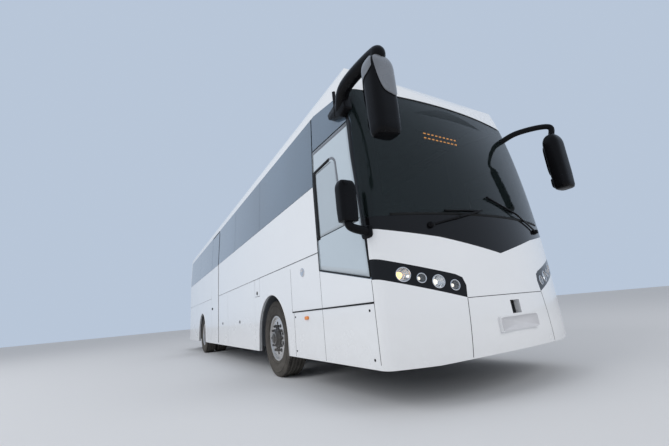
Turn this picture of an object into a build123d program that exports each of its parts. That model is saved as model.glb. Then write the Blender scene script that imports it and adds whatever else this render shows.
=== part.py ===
from build123d import *
import os
from math import atan2, cos, radians, sin, sqrt, tan

# Two-axle touring coach, right-hand drive, in millimetres.
# +X is forward, +Y the nearside (passenger door), +Z up; the ground is Z = 0.
# Stations are measured along X from the front axle, ahead of it positive; rear stations start
# from the rear axle.

# Main body sizes
wheelbase = 6300.0
front_overhang = 2925.0
rear_overhang = 3020.0
body_half_width = 1275.0
side_lean = 42.0            # how far the side leans in between belt and cant rail
skirt_z = 320.0
tail_skirt_z = 400.0        # the skirt climbs behind the rear axle
waist_z = 1430.0            # waist seam, level with the passenger floor
belt_z = 2205.0             # lower edge of the side glass
cant_z = 3085.0             # upper edge of the side glass
roof_z = 3410.0             # where the roof edge arc ends
roof_crown = 30.0
roof_edge_radius = 300.0
wall = 55.0                 # whole thickness of wall, panel and door
glass = 8.0
fit_gap = 0.3               # between a seated piece and its seat
shut_gap = 8.0              # open gap round a door or flap
seam = 6.0                  # width of a closed panel seam
seam_depth = 5.0
over = 10.0                  # how far a cutting solid runs past what it cuts
side_cut_y = 1100.0          # where a cut through one side starts, inside that side's wall

# Nose and tail
nose_lean_table = (          # height, nose centre and sharp corner ahead of the corner seam, corner radius
    (150.0, 350.0, 62.0, 105.0),
    (760.0, 375.0, 66.0, 105.0),
    (1190.0, 340.0, 62.0, 110.0),
    (2000.0, 245.0, 20.0, 150.0),
    (2900.0, 45.0, -90.0, 180.0),
    (3500.0, -180.0, -260.0, 180.0),
)
tail_lean_z = 2100.0         # the tail is upright up to here
tail_lean = 95.0             # and leans in by this much at the cant rail
tail_corner_radius = 230.0
roof_front_radius = 700.0
roof_front_station = 1915.0  # where the roof starts to curve down to the windscreen
roof_rear_radius = 380.0
nose_flare = 0.5             # the bowed plan is this much wider than the side that trims it
bumper_rise = 55.0           # the front bumper's lower edge climbs by this much at its middle

# Mirrors, which reach further forward than the nose
mirror_ahead = 215.0
mirror_y = 1330.0
mirror_foot_z = 2130.0
mirror_scales = (            # share of a mirror head's height, and its section there
    (0.0, 0.74), (0.05, 0.94), (0.28, 1.0), (0.80, 1.0), (0.93, 0.84), (1.0, 0.52),
)
mirror_rounding = 0.42       # corner radius as a share of the head's depth
mirror_fin = (               # fin that carries the offside arm on the roof corner: station and height
    (2150.0, 2800.0), (2165.0, 2745.0), (2400.0, 2650.0), (2490.0, 2700.0), (2470.0, 2850.0), (2330.0, 2850.0),
)
knuckle_lip = 3.0            # how far a knuckle stands round its arm

# Roof hatches
hatch_half = 360.0
hatch_rise = 32.0            # how far a hatch stands above the roof

# Wheels and tyres
tyre_radius = 515.0
tyre_width = 295.0
rim_radius = 292.0
tyre_inset = 40.0            # outer sidewall inside the body side
twin_spacing = 332.0
arch_radius = 622.0
arch_centre_z = 500.0
bead_half = 98.0             # half the width between the tyre's beads
tyre_bulge_radius = 400.0    # radius where the sidewall is widest
tread_shoulder = 120.0       # half the width of an outer tyre's tread
hand_hole_count = 10
hand_hole_radius = 27.0
hand_hole_circle = 200.0

# Front axle
kingpin_y = 930.0
kingpin_radius = 24.0
kingpin_eye_radius = 42.0
kingpin_eye_height = 130.0
lug_height = 30.0
arm_length = 250.0
stub_radius = 42.0
stub_end = 70.0
hub_half = 70.0
beam_height = 95.0
beam_width = 80.0
beam_web = 26.0
beam_flange = 22.0
beam_drop = 70.0
beam_bend_y = 820.0
beam_bend_run = 130.0
pad_inset = 20.0             # the spring's seat on the beam is this much narrower than the spring
knuckle_half = 55.0
knuckle_gap = 1.0            # between a knuckle's lugs and the beam's eye
lug_inset = 4.0              # lug radius inside the eye's radius
arm_half = 20.0
arm_gap = 10.0               # the steering arm hangs this far below the eye

# Rear axle and air springs
axle_tube_radius = 75.0
drive_radius = 205.0
drive_nose = 330.0
drive_nose_share = 0.6       # nose radius as a share of the final drive's
drive_nose_taper = 8.0
spindle_reach = 55.0
tube_setback = 90.0          # the housing's tube ends this far inside the inner tyre's middle
spring_arm_half = 45.0
spring_arm_over = 60.0
spring_arm_rise = 20.0
spring_arm_height = 50.0
spring_radius = 90.0
bellow_profile = (           # two lobes: share of the spring's radius and of its height
    (0.0, 0.0), (0.62, 0.0), (0.87, 0.17), (0.87, 0.33), (0.62, 0.5), (0.87, 0.67), (0.87, 0.83), (0.62, 1.0),
    (0.0, 1.0),
)
spring_y = 410.0
spring_reach = 420.0
spring_foot_z = 540.0

# Powertrain
engine_length = 1150.0
engine_height = 830.0
engine_foot_z = 430.0
engine_clearance = 115.0     # between the engine and the rear wall's inner face
gearbox_length = 650.0
gearbox_half = 250.0
gearbox_lift = 50.0
gearbox_height = 420.0
shaft_radius = 45.0
shaft_rise = 60.0
shaft_gap = 40.0             # between the shaft and the final drive's nose

# Underframe
rail_inner_y = 380.0
rail_width = 70.0
rail_z = 700.0
rail_height = 160.0
rail_front_station = 2510.0
rail_rear_station = -wheelbase - rear_overhang + 75.0
low_rail_height = 70.0
cross_inset = 20.0           # a cross-member lies this far inside the rail's upper and lower edges
low_cross_inset = 10.0
outrigger_gap = 40.0
tow_setback = 40.0           # from the wall's inner face back to the towing socket's mouth
bay_floor_z = 430.0
bulkhead = 30.0
sheet = 12.0
arch_gap = 18.0
wheel_box_inner_y = 520.0
axle_slot_half = 150.0       # opening in the wheel box for the axle and its travel

# Interior
passenger_floor_z = waist_z
floor_thickness = 30.0
cab_floor_z = 950.0
cab_back_station = 1480.0
seat_pitch = 790.0
seat_first_station = 900.0
seat_rows = 12
seat_width = 880.0
seat_heights = (450.0, 1150.0)          # cushion and top of the back above the passenger floor
seat_feet = (380.0, 100.0, 30.0)        # pedestal's front and rear ahead of the heel, half its width
backs_apart = 12.0                      # from the middle of a double seat to either back
cushion_drop = 120.0                    # the cushion's heel below its upper face
cushion_length = 450.0
cushion_climb = 20.0                    # the cushion's underside climbs by this much to its front
aisle_half_width = 210.0
stair_inner_y = 700.0
stair_sill_z = 370.0
stair_plate = 20.0
step_depth = 280.0
step_half = 330.0
step_height = 160.0
rack_z = 2990.0              # underside of the overhead racks at the wall
rack_top_z = rack_z + 70.0
rack_inner_y = 765.0
rack_lip = 50.0
rack_shelf = 20.0
rack_end = 350.0             # rack ends short of the tail and of the cab by this much
driver_y = -640.0
driver_seat_station = 1660.0
driver_seat_width = 500.0
driver_seat_heights = (520.0, 1240.0)
driver_seat_foot = (400.0, 60.0, 160.0)
steering_station = 2060.0
steering_z = 1700.0
steering_radius = 225.0
steering_grip = 15.0
column_tilt = 30.0
column_length = 420.0
column_radius = 32.0
hub_drop = 45.0
hub_radius = 58.0
spoke_width = 34.0
spoke_thickness = 12.0
spoke_drop = 8.0
fascia_outline = (           # station and height round the fascia's side view
    (2250.0, cab_floor_z), (2250.0, 1330.0), (2170.0, 1390.0), (2180.0, 1450.0), (2330.0, 1575.0),
    (2480.0, 1620.0), (2620.0, 1600.0), (2700.0, 1540.0), (2900.0, 1520.0), (2900.0, cab_floor_z),
)

# Side stations, from the front axle
seam_station = front_overhang - nose_lean_table[1][1]
cab_glass_rear_station = 1620.0
bay_front_station = -800.0
exit_front_station = -wheelbase + 2420.0
exit_post = 60.0             # wall left between the emergency door and the luggage door ahead of it
exit_rear_station = -wheelbase + 1520.0
bay_split_station = (bay_front_station + exit_rear_station) / 2 - 50.0
tail_corner_station = -(wheelbase + rear_overhang) + 260.0
filler_front_station = -520.0
hatch_stations = (-700.0, -wheelbase + 900.0)
post_half = 55.0
window_posts = (cab_glass_rear_station - 90.0, -450.0, exit_front_station / 2 - 225.0,
                exit_front_station + post_half, exit_rear_station - post_half,
                -wheelbase - 600.0, tail_corner_station + 80.0)
window_margin = 60.0

# Reference planes worked out from the sizes
overall_length = front_overhang + wheelbase + rear_overhang
front_axle_x = (overall_length + mirror_ahead) / 2 - mirror_ahead - front_overhang
rear_axle_x = front_axle_x - wheelbase
nose_x = front_axle_x + front_overhang
tail_x = rear_axle_x - rear_overhang
seam_x = front_axle_x + seam_station
wheel_y = body_half_width - tyre_inset - tyre_width / 2
twin_y = wheel_y - twin_spacing / 2
bay_half = body_half_width - wall - 10
low_rail_z = bay_floor_z - floor_thickness - low_rail_height
mirror_depth = 190.0
mirror_station = front_overhang + mirror_ahead - mirror_depth / 2
high_cross_stations = (rail_front_station - rail_width, 1000.0, -wheelbase + 740.0, -wheelbase - 800.0)
short_cross_stations = (300.0, -370.0, -wheelbase + 270.0, -wheelbase - 340.0, rail_rear_station)
low_cross_stations = tuple(bay_front_station + (exit_rear_station - bay_front_station) * n / 4 for n in (1, 2, 3))
post_table = (               # posts from the rails up to a floor: station and top
    (rail_front_station - rail_width, cab_floor_z - floor_thickness),
    (1380.0, passenger_floor_z - floor_thickness),
    (700.0, passenger_floor_z - floor_thickness),
    (-wheelbase + 1200.0, passenger_floor_z - floor_thickness),
    (-wheelbase - 900.0, passenger_floor_z - floor_thickness),
    (rail_rear_station, passenger_floor_z - floor_thickness),
)
far = 4000.0


def at(station):
    """X of a station measured from the front axle."""
    return front_axle_x + station


def block(x0, x1, y0, y1, z0, z1):
    """Box between two corners."""
    return Pos((x0 + x1) / 2, (y0 + y1) / 2, (z0 + z1) / 2) * Box(abs(x1 - x0), abs(y1 - y0), abs(z1 - z0))


def side_prism(points, y0, y1):
    """Outline in side view, (x, z) points, carried across from y0 to y1."""
    outline = make_face(Polyline(*points, close=True))
    return extrude(Plane.XZ.offset(-y1) * outline, amount=y1 - y0)


def end_prism(points, x0, x1):
    """Outline in end view, (y, z) points, carried along from x0 to x1."""
    outline = make_face(Polyline(*points, close=True))
    return extrude(Plane.YZ.offset(x0) * outline, amount=x1 - x0)


def rod(start, end, radius):
    """Round bar between two points."""
    direction = Vector(*end) - Vector(*start)
    plane = Plane(origin=start, z_dir=direction)
    return extrude(plane * Circle(radius), amount=direction.length)


def fuse(pieces):
    """Join a list of solids."""
    result = pieces[0]
    for piece in pieces[1:]:
        result = result + piece
    return result


def cross_section(inset, bottom):
    """End-view outline of the body, moved inwards by inset."""
    half = body_half_width - inset
    lean = half - side_lean
    edge_radius = roof_edge_radius - inset
    arc_y = lean - edge_radius
    arc_z = roof_z - roof_edge_radius
    shoulder = arc_z + edge_radius
    knee_y = arc_y + edge_radius * cos(radians(45))
    knee_z = arc_z + edge_radius * sin(radians(45))
    return make_face([
        *Polyline((-half, bottom), (-half, belt_z), (-lean, arc_z)).edges(),
        ThreePointArc((-lean, arc_z), (-knee_y, knee_z), (-arc_y, shoulder)),
        ThreePointArc((-arc_y, shoulder), (0, shoulder + roof_crown), (arc_y, shoulder)),
        ThreePointArc((arc_y, shoulder), (knee_y, knee_z), (lean, arc_z)),
        *Polyline((lean, arc_z), (half, belt_z), (half, bottom), (-half, bottom)).edges(),
    ])


def nose_plan(inset):
    """Bowed nose with round corners, lofted through one plan section for each height."""
    half = body_half_width + nose_flare - inset
    back = at(cab_glass_rear_station) - 10
    sections = []
    for z, nose, corner, radius in nose_lean_table:
        nose_at = seam_x + nose - inset
        corner_at = seam_x + corner - inset
        bow = ThreePointArc((corner_at, half), (nose_at, 0), (corner_at, -half))
        rest = Polyline((corner_at, -half), (back, -half), (back, half), (corner_at, half))
        outline = make_face([bow, *rest.edges()])
        sharp = [v for v in outline.vertices() if abs(v.X - corner_at) < 1]
        sections.append(Pos(0, 0, z) * fillet(sharp, radius - inset))
    return loft(sections)


def nose_block(inset, bottom):
    """Solid nose, ahead of the split station."""
    tube = extrude(Plane.YZ.offset(at(cab_glass_rear_station)) * cross_section(inset, bottom), amount=far)
    top = roof_z + roof_crown - inset
    radius = roof_front_radius - inset
    start = at(roof_front_station)
    brow_x = start + radius
    brow = make_face([
        *Polyline((brow_x + far, top - radius), (brow_x + far, bottom - 10), (start - far, bottom - 10),
                  (start - far, top), (start, top)).edges(),
        RadiusArc((start, top), (brow_x, top - radius), radius),
        Line((brow_x, top - radius), (brow_x + far, top - radius)),
    ])
    return nose_plan(inset) & tube & extrude(Plane.XZ.offset(-far) * brow, amount=2 * far)


def main_block(inset, bottom):
    """Solid body behind the split station, with upright round tail corners."""
    front = at(cab_glass_rear_station)
    tube = extrude(Plane.YZ.offset(tail_x - over) * cross_section(inset, bottom), amount=front - tail_x + over)
    half = body_half_width - inset
    corners = block(tail_x + inset, front + far, -half, half, bottom - 10, far)
    rear_edges = [e for e in corners.edges().filter_by(Axis.Z) if e.center().X < front]
    corners = fillet(rear_edges, tail_corner_radius - inset)
    top = roof_z + roof_crown - inset
    radius = roof_rear_radius - inset
    tilt = atan2(tail_lean, cant_z - tail_lean_z)
    shift = inset / cos(tilt)
    edge_z = top - radius + radius * sin(tilt)
    edge_x = tail_x + shift + (edge_z - tail_lean_z) * tan(tilt)
    start = edge_x + radius * cos(tilt)
    profile = make_face([
        *Polyline((start, top), (front + far, top), (front + far, bottom - 10), (tail_x + shift, bottom - 10),
                  (tail_x + shift, tail_lean_z), (edge_x, edge_z)).edges(),
        ThreePointArc((edge_x, edge_z), (start - radius * sin(radians(45)), top - radius + radius * cos(radians(45))),
                      (start, top)),
    ])
    return tube & corners & extrude(Plane.XZ.offset(-far) * profile, amount=2 * far)


def layers(maker):
    """Walls of one block, open below: whole thickness, the glass alone, and the framing behind it."""
    skin = maker(0, skirt_z)
    lining = maker(wall, skirt_z - 200)
    return skin - lining, skin - maker(glass, skirt_z - 200), maker(glass + fit_gap, skirt_z) - lining


nose_wall, nose_glass, nose_frame = layers(nose_block)
main_wall, main_glass, main_frame = layers(main_block)

main_hatch = main_block(-hatch_rise, skirt_z)
main_inside = main_block(wall / 2, skirt_z)
nose_space = nose_block(wall + fit_gap, skirt_z - 200)
nose_skin = nose_block(-fit_gap, skirt_z)

# Split lines of the body in side view, shared by every panel that meets there
cab_glass_rear_x = at(cab_glass_rear_station)
cab_glass_foot = (cab_glass_rear_x, 1229.0)
pillar_foot = (at(seam_station), 1029.0)
screen_sill_z = 1560.0
pillar_sill = (at(seam_station - 28), screen_sill_z)
pillar_middle = (at(seam_station - 80), 2580.0)
pillar_top = (at(seam_station - 205), 2958.0)
screen_top = (at(front_overhang + 300), 2930.0)
quarter_top = (at(cab_glass_rear_station + 80), cant_z)
tail_corner_x = at(tail_corner_station)
pillar_line = [pillar_foot, pillar_sill, pillar_middle, pillar_top]

roof_region = side_prism([
    (tail_x - 2 * over, cant_z), quarter_top, pillar_top, screen_top,
    (screen_top[0], roof_z + 200), (tail_x - 2 * over, roof_z + 200),
], -far, far)
screen_region = side_prism([
    *pillar_line[1:], screen_top, (screen_top[0], screen_sill_z),
], -far, far)
cab_glass_outline = [cab_glass_foot, *pillar_line, quarter_top, (cab_glass_rear_x, cant_z)]
cab_opening_rear_x = cab_glass_rear_x + window_margin
driver_opening_z = (screen_sill_z + 40, 2590.0)
quarter_opening = [          # opening of the framing behind the quarter pane over the driver's window
    (cab_opening_rear_x, 2660.0), (at(seam_station - 190), 2660.0), (at(seam_station - 250), 2920.0),
    (cab_glass_rear_x + 140, cant_z - 50), (cab_opening_rear_x, cant_z - 50),
]

# Front of the nose in end view, one half, as (y, z); the other half mirrors it
lamp_top_outer = (1300.0, 1200.0)
lamp_top_inner = (607.0, 1016.0)
lamp_corner = (545.0, 985.0)
lamp_nose = (524.0, 917.0)
lamp_foot_inner = (540.0, 815.0)
lamp_foot_outer = (1300.0, 1030.0)
chevron_tip = (0.0, 1190.0)
chevron_knee = (670.0, 1350.0)
chevron_end = (1300.0, 1457.0)
lamp_table = (               # lamp centre (y, z) and lens radius
    (1064.0, 1043.0, 61.0),
    (919.0, 1003.0, 42.0),
    (777.0, 965.0, 57.0),
    (633.0, 925.0, 46.0),
)
lamp_rim = 7.0               # ring left round each lamp's dish
lamp_depth = 30.0
bulb_share = 0.34            # bulb radius as a share of the lamp's
plate_width = 530.0          # flat seat for a number plate
plate_height = 125.0
plate_z = 567.0
front_plate_stand = 26.0     # how far the seat stands ahead of the nose's plan between its sections
plate_stand = 12.0           # how far the rear plate's seat stands proud of the tail
tail_plate_z = 545.0
tow_half = 65.0              # opening in the bumper in front of the towing socket
tow_z = 702.0
tow_opening_height = 116.0
tow_radius = 20.0            # bore of the towing socket
tow_boss_radius = 42.0
tow_depth = 140.0
screen_opening = [(1120.0, screen_sill_z + window_margin), (1060.0, 2860.0)]

# Passenger door in the nearside, ahead of the front axle
door_front_x = at(seam_station - 105)
door_rear_x = at(cab_glass_rear_station + 20)
door_foot_z = skirt_z + 35
door_head_z = 2560.0
door_rail_z = 1330.0
door_border = 40.0           # leaf left showing round each pane
door_panes = (               # foot and head of each pane
    (door_foot_z + 2 * door_border, door_rail_z - door_border),
    (door_rail_z + door_border, door_head_z - door_border),
)

# Emergency door in the offside
exit_head_z = cant_z - 25.0
exit_hinge_radius = 8.0
exit_rear_gap = 12.0         # wider than the others, for the leaf's inner corner as it swings
exit_border = 70.0           # leaf left showing round the emergency door's pane

# Hinged luggage doors: name, front station, rear station, side
luggage_doors = (
    ("luggage_door_offside_front", bay_front_station, bay_split_station, -1),
    ("luggage_door_offside_rear", bay_split_station, exit_front_station + exit_post, -1),
    ("luggage_door_nearside_front", bay_front_station, bay_split_station, 1),
    ("luggage_door_nearside_rear", bay_split_station, exit_rear_station, 1),
)
hinge_radius = 5.0
hinge_lift = 3.0             # the wall edge lies this far above the hinge line
hinge_margin = 20.0
filler_foot_z = 1150.0
engine_lid_half = 880.0
engine_lid_top_z = 1840.0
engine_lid_foot_z = 640.0
louvre_count = 9
louvre_foot_z = 800.0
louvre_pitch = 62.0
louvre_height = 26.0
louvre_rise = 18.0           # a louvre climbs by this much to the lid's inner face
louvre_y = (110.0, 770.0)
rear_lamp_count = 4          # segments of each rear lamp
rear_window_half = 1000.0
rear_window_foot_z = 2290.0
rear_window_head_z = 2990.0
rear_lamp_y = (1015.0, 1125.0)
rear_lamp_z = (850.0, 1560.0)
corner_cut_x = tail_x + 150  # behind it only the tail's own face is cut, not the sides
lip = 45.0                   # how far the framing reaches behind a pane's edge
inner_half = body_half_width - wall - fit_gap
parts = {}


def mirrored(points):
    """End-view points followed by their mirror image, as one closed outline."""
    return points + [(-y, z) for y, z in reversed(points) if y != 0]


def wheel_arch_cut(axle_x, side):
    """Round-topped wheel opening through one side wall."""
    near, away = side * side_cut_y, side * (body_half_width + over)
    drum = rod((axle_x, near, arch_centre_z), (axle_x, away, arch_centre_z), arch_radius)
    return drum + block(axle_x - arch_radius, axle_x + arch_radius, near, away, 0, arch_centre_z)


def seam_line(x0, z0, x1, z1, side):
    """Shallow groove between two closed panels of a flat side, upright or level."""
    y = side * body_half_width
    return block(min(x0, x1) - seam / 2, max(x0, x1) + seam / 2, y - seam_depth, y + seam_depth,
                 min(z0, z1) - seam / 2, max(z0, z1) + seam / 2)


def side_wall(side):
    """One side of the body from the front corner to the tail corner, windows and doors cut."""
    low_main = block(tail_corner_x, cab_glass_rear_x, 0, side * far, 0, belt_z)
    low_nose = block(cab_glass_rear_x, at(seam_station), 0, side * far, 0, far)
    band = block(tail_corner_x, cab_glass_rear_x, 0, side * far, belt_z, cant_z)
    panel = main_wall & low_main
    framing = main_frame & band
    for front, rear in zip(window_posts, window_posts[1:]):
        framing -= block(at(rear) + post_half, at(front) - post_half, side * side_cut_y, side * far,
                         belt_z + window_margin, cant_z - window_margin)
    y0, y1 = min(0, side * far), max(0, side * far)
    above_foot = side_prism([cab_glass_foot, pillar_foot, (pillar_foot[0] + far, pillar_foot[1]),
                             (pillar_foot[0] + far, far), (cab_glass_rear_x, far)], y0, y1)
    cab_outline = side_prism(cab_glass_outline, y0, y1)
    below = (nose_wall & low_nose) - above_foot
    if side < 0:
        cab = nose_frame & cab_outline
        cab -= block(cab_opening_rear_x, at(seam_station - 120), -far, 0, *driver_opening_z)
        cab -= side_prism(quarter_opening, -far, 0)
    else:
        doorway = block(door_rear_x - fit_gap, door_front_x + fit_gap, 0, far, door_foot_z - fit_gap,
                        door_head_z + fit_gap)
        below -= doorway
        cab = (nose_wall & cab_outline) - doorway
    result = panel + framing + below + cab
    for axle in (front_axle_x, rear_axle_x):
        result -= wheel_arch_cut(axle, side)
    y = side * body_half_width
    for name, front, rear, door_side in luggage_doors:
        if door_side == side:
            result -= block(at(rear), at(front), side * side_cut_y, side * far, 0, waist_z + hinge_lift)
    if side < 0:
        result -= block(at(exit_rear_station), at(exit_front_station) + hinge_lift, -far, -side_cut_y, 0, exit_head_z)
        result -= block(at(bay_front_station) + seam, at(filler_front_station), -far, -side_cut_y,
                        filler_foot_z, waist_z + hinge_lift)
    for name, front, rear, door_side in luggage_doors:
        if door_side == side:
            result += rod((at(rear) + hinge_margin, y, waist_z), (at(front) - hinge_margin, y, waist_z),
                          hinge_radius)
    if side < 0:
        hinge_x = at(exit_front_station)
        result += rod((hinge_x, y, skirt_z + exit_post), (hinge_x, y, belt_z - exit_post), exit_hinge_radius)
        result += rod((at(bay_front_station) + seam + hinge_margin, y, waist_z),
                      (at(filler_front_station) - hinge_margin, y, waist_z), hinge_radius)
        result -= seam_line(tail_corner_x, waist_z, at(exit_rear_station) - seam, waist_z, side)
        result -= seam_line(at(filler_front_station) + seam, waist_z, cab_glass_rear_x, waist_z, side)
    else:
        result -= seam_line(tail_corner_x, waist_z, at(exit_rear_station) - seam, waist_z, side)
        result -= seam_line(at(bay_front_station) + seam, waist_z, cab_glass_rear_x, waist_z, side)
    return result


def luggage_door(front, rear, side):
    """Luggage door, as thick as the wall, hung from its hinge line."""
    region = block(at(rear) + shut_gap / 2, at(front) - shut_gap / 2, side * side_cut_y, side * far,
                   0, waist_z - hinge_radius - fit_gap)
    return main_wall & region


def emergency_door():
    """Emergency door leaf with its window opening, hinged at its front edge."""
    front = at(exit_front_station) - exit_hinge_radius - fit_gap
    rear = at(exit_rear_station) + exit_rear_gap
    head = exit_head_z - shut_gap
    leaf = main_wall & block(rear, front, -far, -side_cut_y, 0, belt_z)
    leaf += main_frame & block(rear, front, -far, -side_cut_y, belt_z, head)
    leaf -= block(rear + exit_border, front - exit_border, -far, -side_cut_y, belt_z + wall, head - exit_border)
    pane = main_glass & block(rear, front, -far, -side_cut_y, belt_z + fit_gap, head)
    return leaf, pane


def side_glazing(side):
    """Bonded panes of one side, with open joints between them."""
    joints = window_posts[1:-1]
    band = main_glass & block(tail_corner_x, cab_glass_rear_x - fit_gap, 0, side * far, belt_z + fit_gap,
                              cant_z - fit_gap)
    for station in joints:
        if side < 0 and station in (window_posts[3], window_posts[4]):
            continue
        band -= block(at(station) - seam / 2, at(station) + seam / 2, side * side_cut_y, side * far, 0, far)
    if side < 0:
        band -= block(at(exit_rear_station) - hinge_lift, at(exit_front_station) + hinge_lift, -far, 0, 0, far)
        return band + (nose_glass & side_prism(cab_glass_outline, -far, 0))
    for foot, head in door_panes:
        band += nose_glass & block(door_rear_x + door_border, door_front_x - door_border, 0, far, foot, head)
    return band


def passenger_door():
    """Passenger door leaf with a lower and an upper window opening, panes bonded on the outside."""
    leaf = nose_wall & block(door_rear_x, door_front_x, 0, far, door_foot_z, door_head_z)
    rear, front = door_rear_x + door_border, door_front_x - door_border
    for foot, head in door_panes:
        leaf -= nose_glass & block(rear - fit_gap, front + fit_gap, 0, far, foot - fit_gap, head + fit_gap)
        leaf -= block(rear + lip, front - lip, 0, far, foot + lip, head - lip)
    return leaf


def tail_pieces():
    """Rear wall, rear window, lamps, bumper and the top-hinged engine lid."""
    rear = main_wall & block(tail_x - over, tail_corner_x, -far, far, 0, cant_z)
    rear -= side_prism([(tail_corner_x, 0), (tail_corner_x, skirt_z), (tail_x - over, tail_skirt_z),
                        (tail_x - over, 0)], -far, far)
    pane_zone = block(tail_x - over, tail_corner_x, -rear_window_half, rear_window_half,
                      rear_window_foot_z, rear_window_head_z)
    pane = main_glass & pane_zone & block(tail_x - over, corner_cut_x, -far, far, 0, far)
    rear -= main_glass & block(tail_x - over, tail_corner_x, -rear_window_half - fit_gap, rear_window_half + fit_gap,
                               rear_window_foot_z - fit_gap, rear_window_head_z + fit_gap)
    rear -= block(tail_x - over, tail_corner_x, -rear_window_half + lip, rear_window_half - lip,
                  rear_window_foot_z + lip, rear_window_head_z - lip)
    lamps = None
    for side in (-1, 1):
        y0, y1 = side * rear_lamp_y[0], side * rear_lamp_y[1]
        zone = block(tail_x - over, tail_corner_x, y0, y1, rear_lamp_z[0], rear_lamp_z[1])
        lens = main_glass & zone
        for n in range(1, rear_lamp_count):
            z = rear_lamp_z[0] + (rear_lamp_z[1] - rear_lamp_z[0]) * n / rear_lamp_count
            lens -= block(tail_x - over, tail_x + seam_depth, y0, y1, z - seam / 2, z + seam / 2)
        rear -= main_glass & block(tail_x - over, tail_corner_x, y0 - side * fit_gap, y1 + side * fit_gap,
                                   rear_lamp_z[0] - fit_gap, rear_lamp_z[1] + fit_gap)
        lamps = lens if lamps is None else lamps + lens
    rear -= block(tail_x - over, corner_cut_x, -engine_lid_half - shut_gap, engine_lid_half + shut_gap,
                  engine_lid_foot_z - shut_gap, engine_lid_top_z + hinge_lift)
    rear += rod((tail_x, -engine_lid_half + hinge_margin, engine_lid_top_z),
                (tail_x, engine_lid_half - hinge_margin, engine_lid_top_z), hinge_radius)
    rear += block(tail_x - plate_stand, tail_x + over, -plate_width / 2, plate_width / 2,
                  tail_plate_z - plate_height / 2, tail_plate_z + plate_height / 2)
    lid = block(tail_x, tail_x + wall, -engine_lid_half, engine_lid_half, engine_lid_foot_z,
                engine_lid_top_z - hinge_radius - fit_gap)
    for side in (-1, 1):
        for n in range(louvre_count):
            z = louvre_foot_z + n * louvre_pitch
            outer, inner = tail_x - over, tail_x + wall + over
            lid -= side_prism([(outer, z), (inner, z + louvre_rise), (inner, z + louvre_rise + louvre_height),
                               (outer, z + louvre_height)], *sorted((side * louvre_y[0], side * louvre_y[1])))
    return rear, pane, lamps, lid


def roof():
    """Roof skin with its curved front and tail, and two hatches that stand a little proud."""
    skin = (main_wall & roof_region) + (nose_wall & roof_region)
    for station in hatch_stations:
        lid = main_hatch & block(at(station) - hatch_half, at(station) + hatch_half, -hatch_half, hatch_half,
                                 cant_z, far)
        skin += lid - main_inside
    return skin


def nose_pieces():
    """Bumper, white panel, black panel under the screen, lamp bands and the screen's framing."""
    x0, x1 = at(seam_station), nose_x + 100
    lamp_outline = [lamp_top_outer, lamp_top_inner, lamp_corner, lamp_nose, lamp_foot_inner, lamp_foot_outer]
    bumper = nose_wall & end_prism(mirrored([(1300, 0), lamp_foot_outer, lamp_foot_inner]), x0, x1)
    rise = make_face([ThreePointArc((-1300, skirt_z - 30), (0, skirt_z - 30 + bumper_rise), (1300, skirt_z - 30)),
                      *Polyline((1300, skirt_z - 30), (1300, 0), (-1300, 0), (-1300, skirt_z - 30)).edges()])
    bumper -= extrude(Plane.YZ.offset(x0 - over) * rise, amount=far)
    bumper -= block(x0, x1, -tow_half, tow_half, tow_z - tow_opening_height / 2, tow_z + tow_opening_height / 2)
    face = nose_face_x(0, plate_z) + front_plate_stand
    seat = block(face - wall, face, -plate_width / 2, plate_width / 2, plate_z - plate_height / 2,
                 plate_z + plate_height / 2)
    bumper += seat - nose_block(wall / 2, 0)
    panel = nose_wall & end_prism(mirrored([lamp_foot_inner, lamp_nose, lamp_corner, lamp_top_inner,
                                            lamp_top_outer, chevron_end, chevron_knee, chevron_tip]), x0, x1)
    sill = nose_wall & end_prism([chevron_tip, chevron_knee, chevron_end, (1300, screen_sill_z),
                                  (-1300, screen_sill_z), (-chevron_end[0], chevron_end[1]),
                                  (-chevron_knee[0], chevron_knee[1])], at(seam_station - 40), x1)
    sill = sill & side_prism([pillar_foot, pillar_sill, (x1, screen_sill_z), (x1, pillar_foot[1])], -far, far)
    lamp_floor = nose_block(lamp_depth, skirt_z)
    bands = []
    lamps = []
    for side in (-1, 1):
        outline = [(side * y, z) for y, z in lamp_outline]
        band = nose_wall & end_prism(outline, x0, x1)
        for y, z, radius in lamp_table:
            centre = (x0 + 20, side * y, z)
            away = (x1, side * y, z)
            band -= rod(centre, away, radius + fit_gap)
            dish = rod(centre, away, radius - lamp_rim) - lamp_floor
            bulb = Pos(nose_face_x(y, z) - lamp_depth, side * y, z) * Sphere(radius * bulb_share)
            lamps.append((rod(centre, away, radius) & nose_wall) - dish + bulb)
        bands.append(band)
    screen = nose_glass & screen_region
    opening = end_prism(mirrored(screen_opening), at(seam_station - 100), x1)
    frame = (nose_frame & screen_region) - opening
    return bumper, panel, sill, bands, lamps, screen, frame


def lining_y(z):
    """Half-width of the inner wall face at a height between belt and cant rail."""
    return inner_half - side_lean * (z - belt_z) / (roof_z - roof_edge_radius - belt_z)


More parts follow.
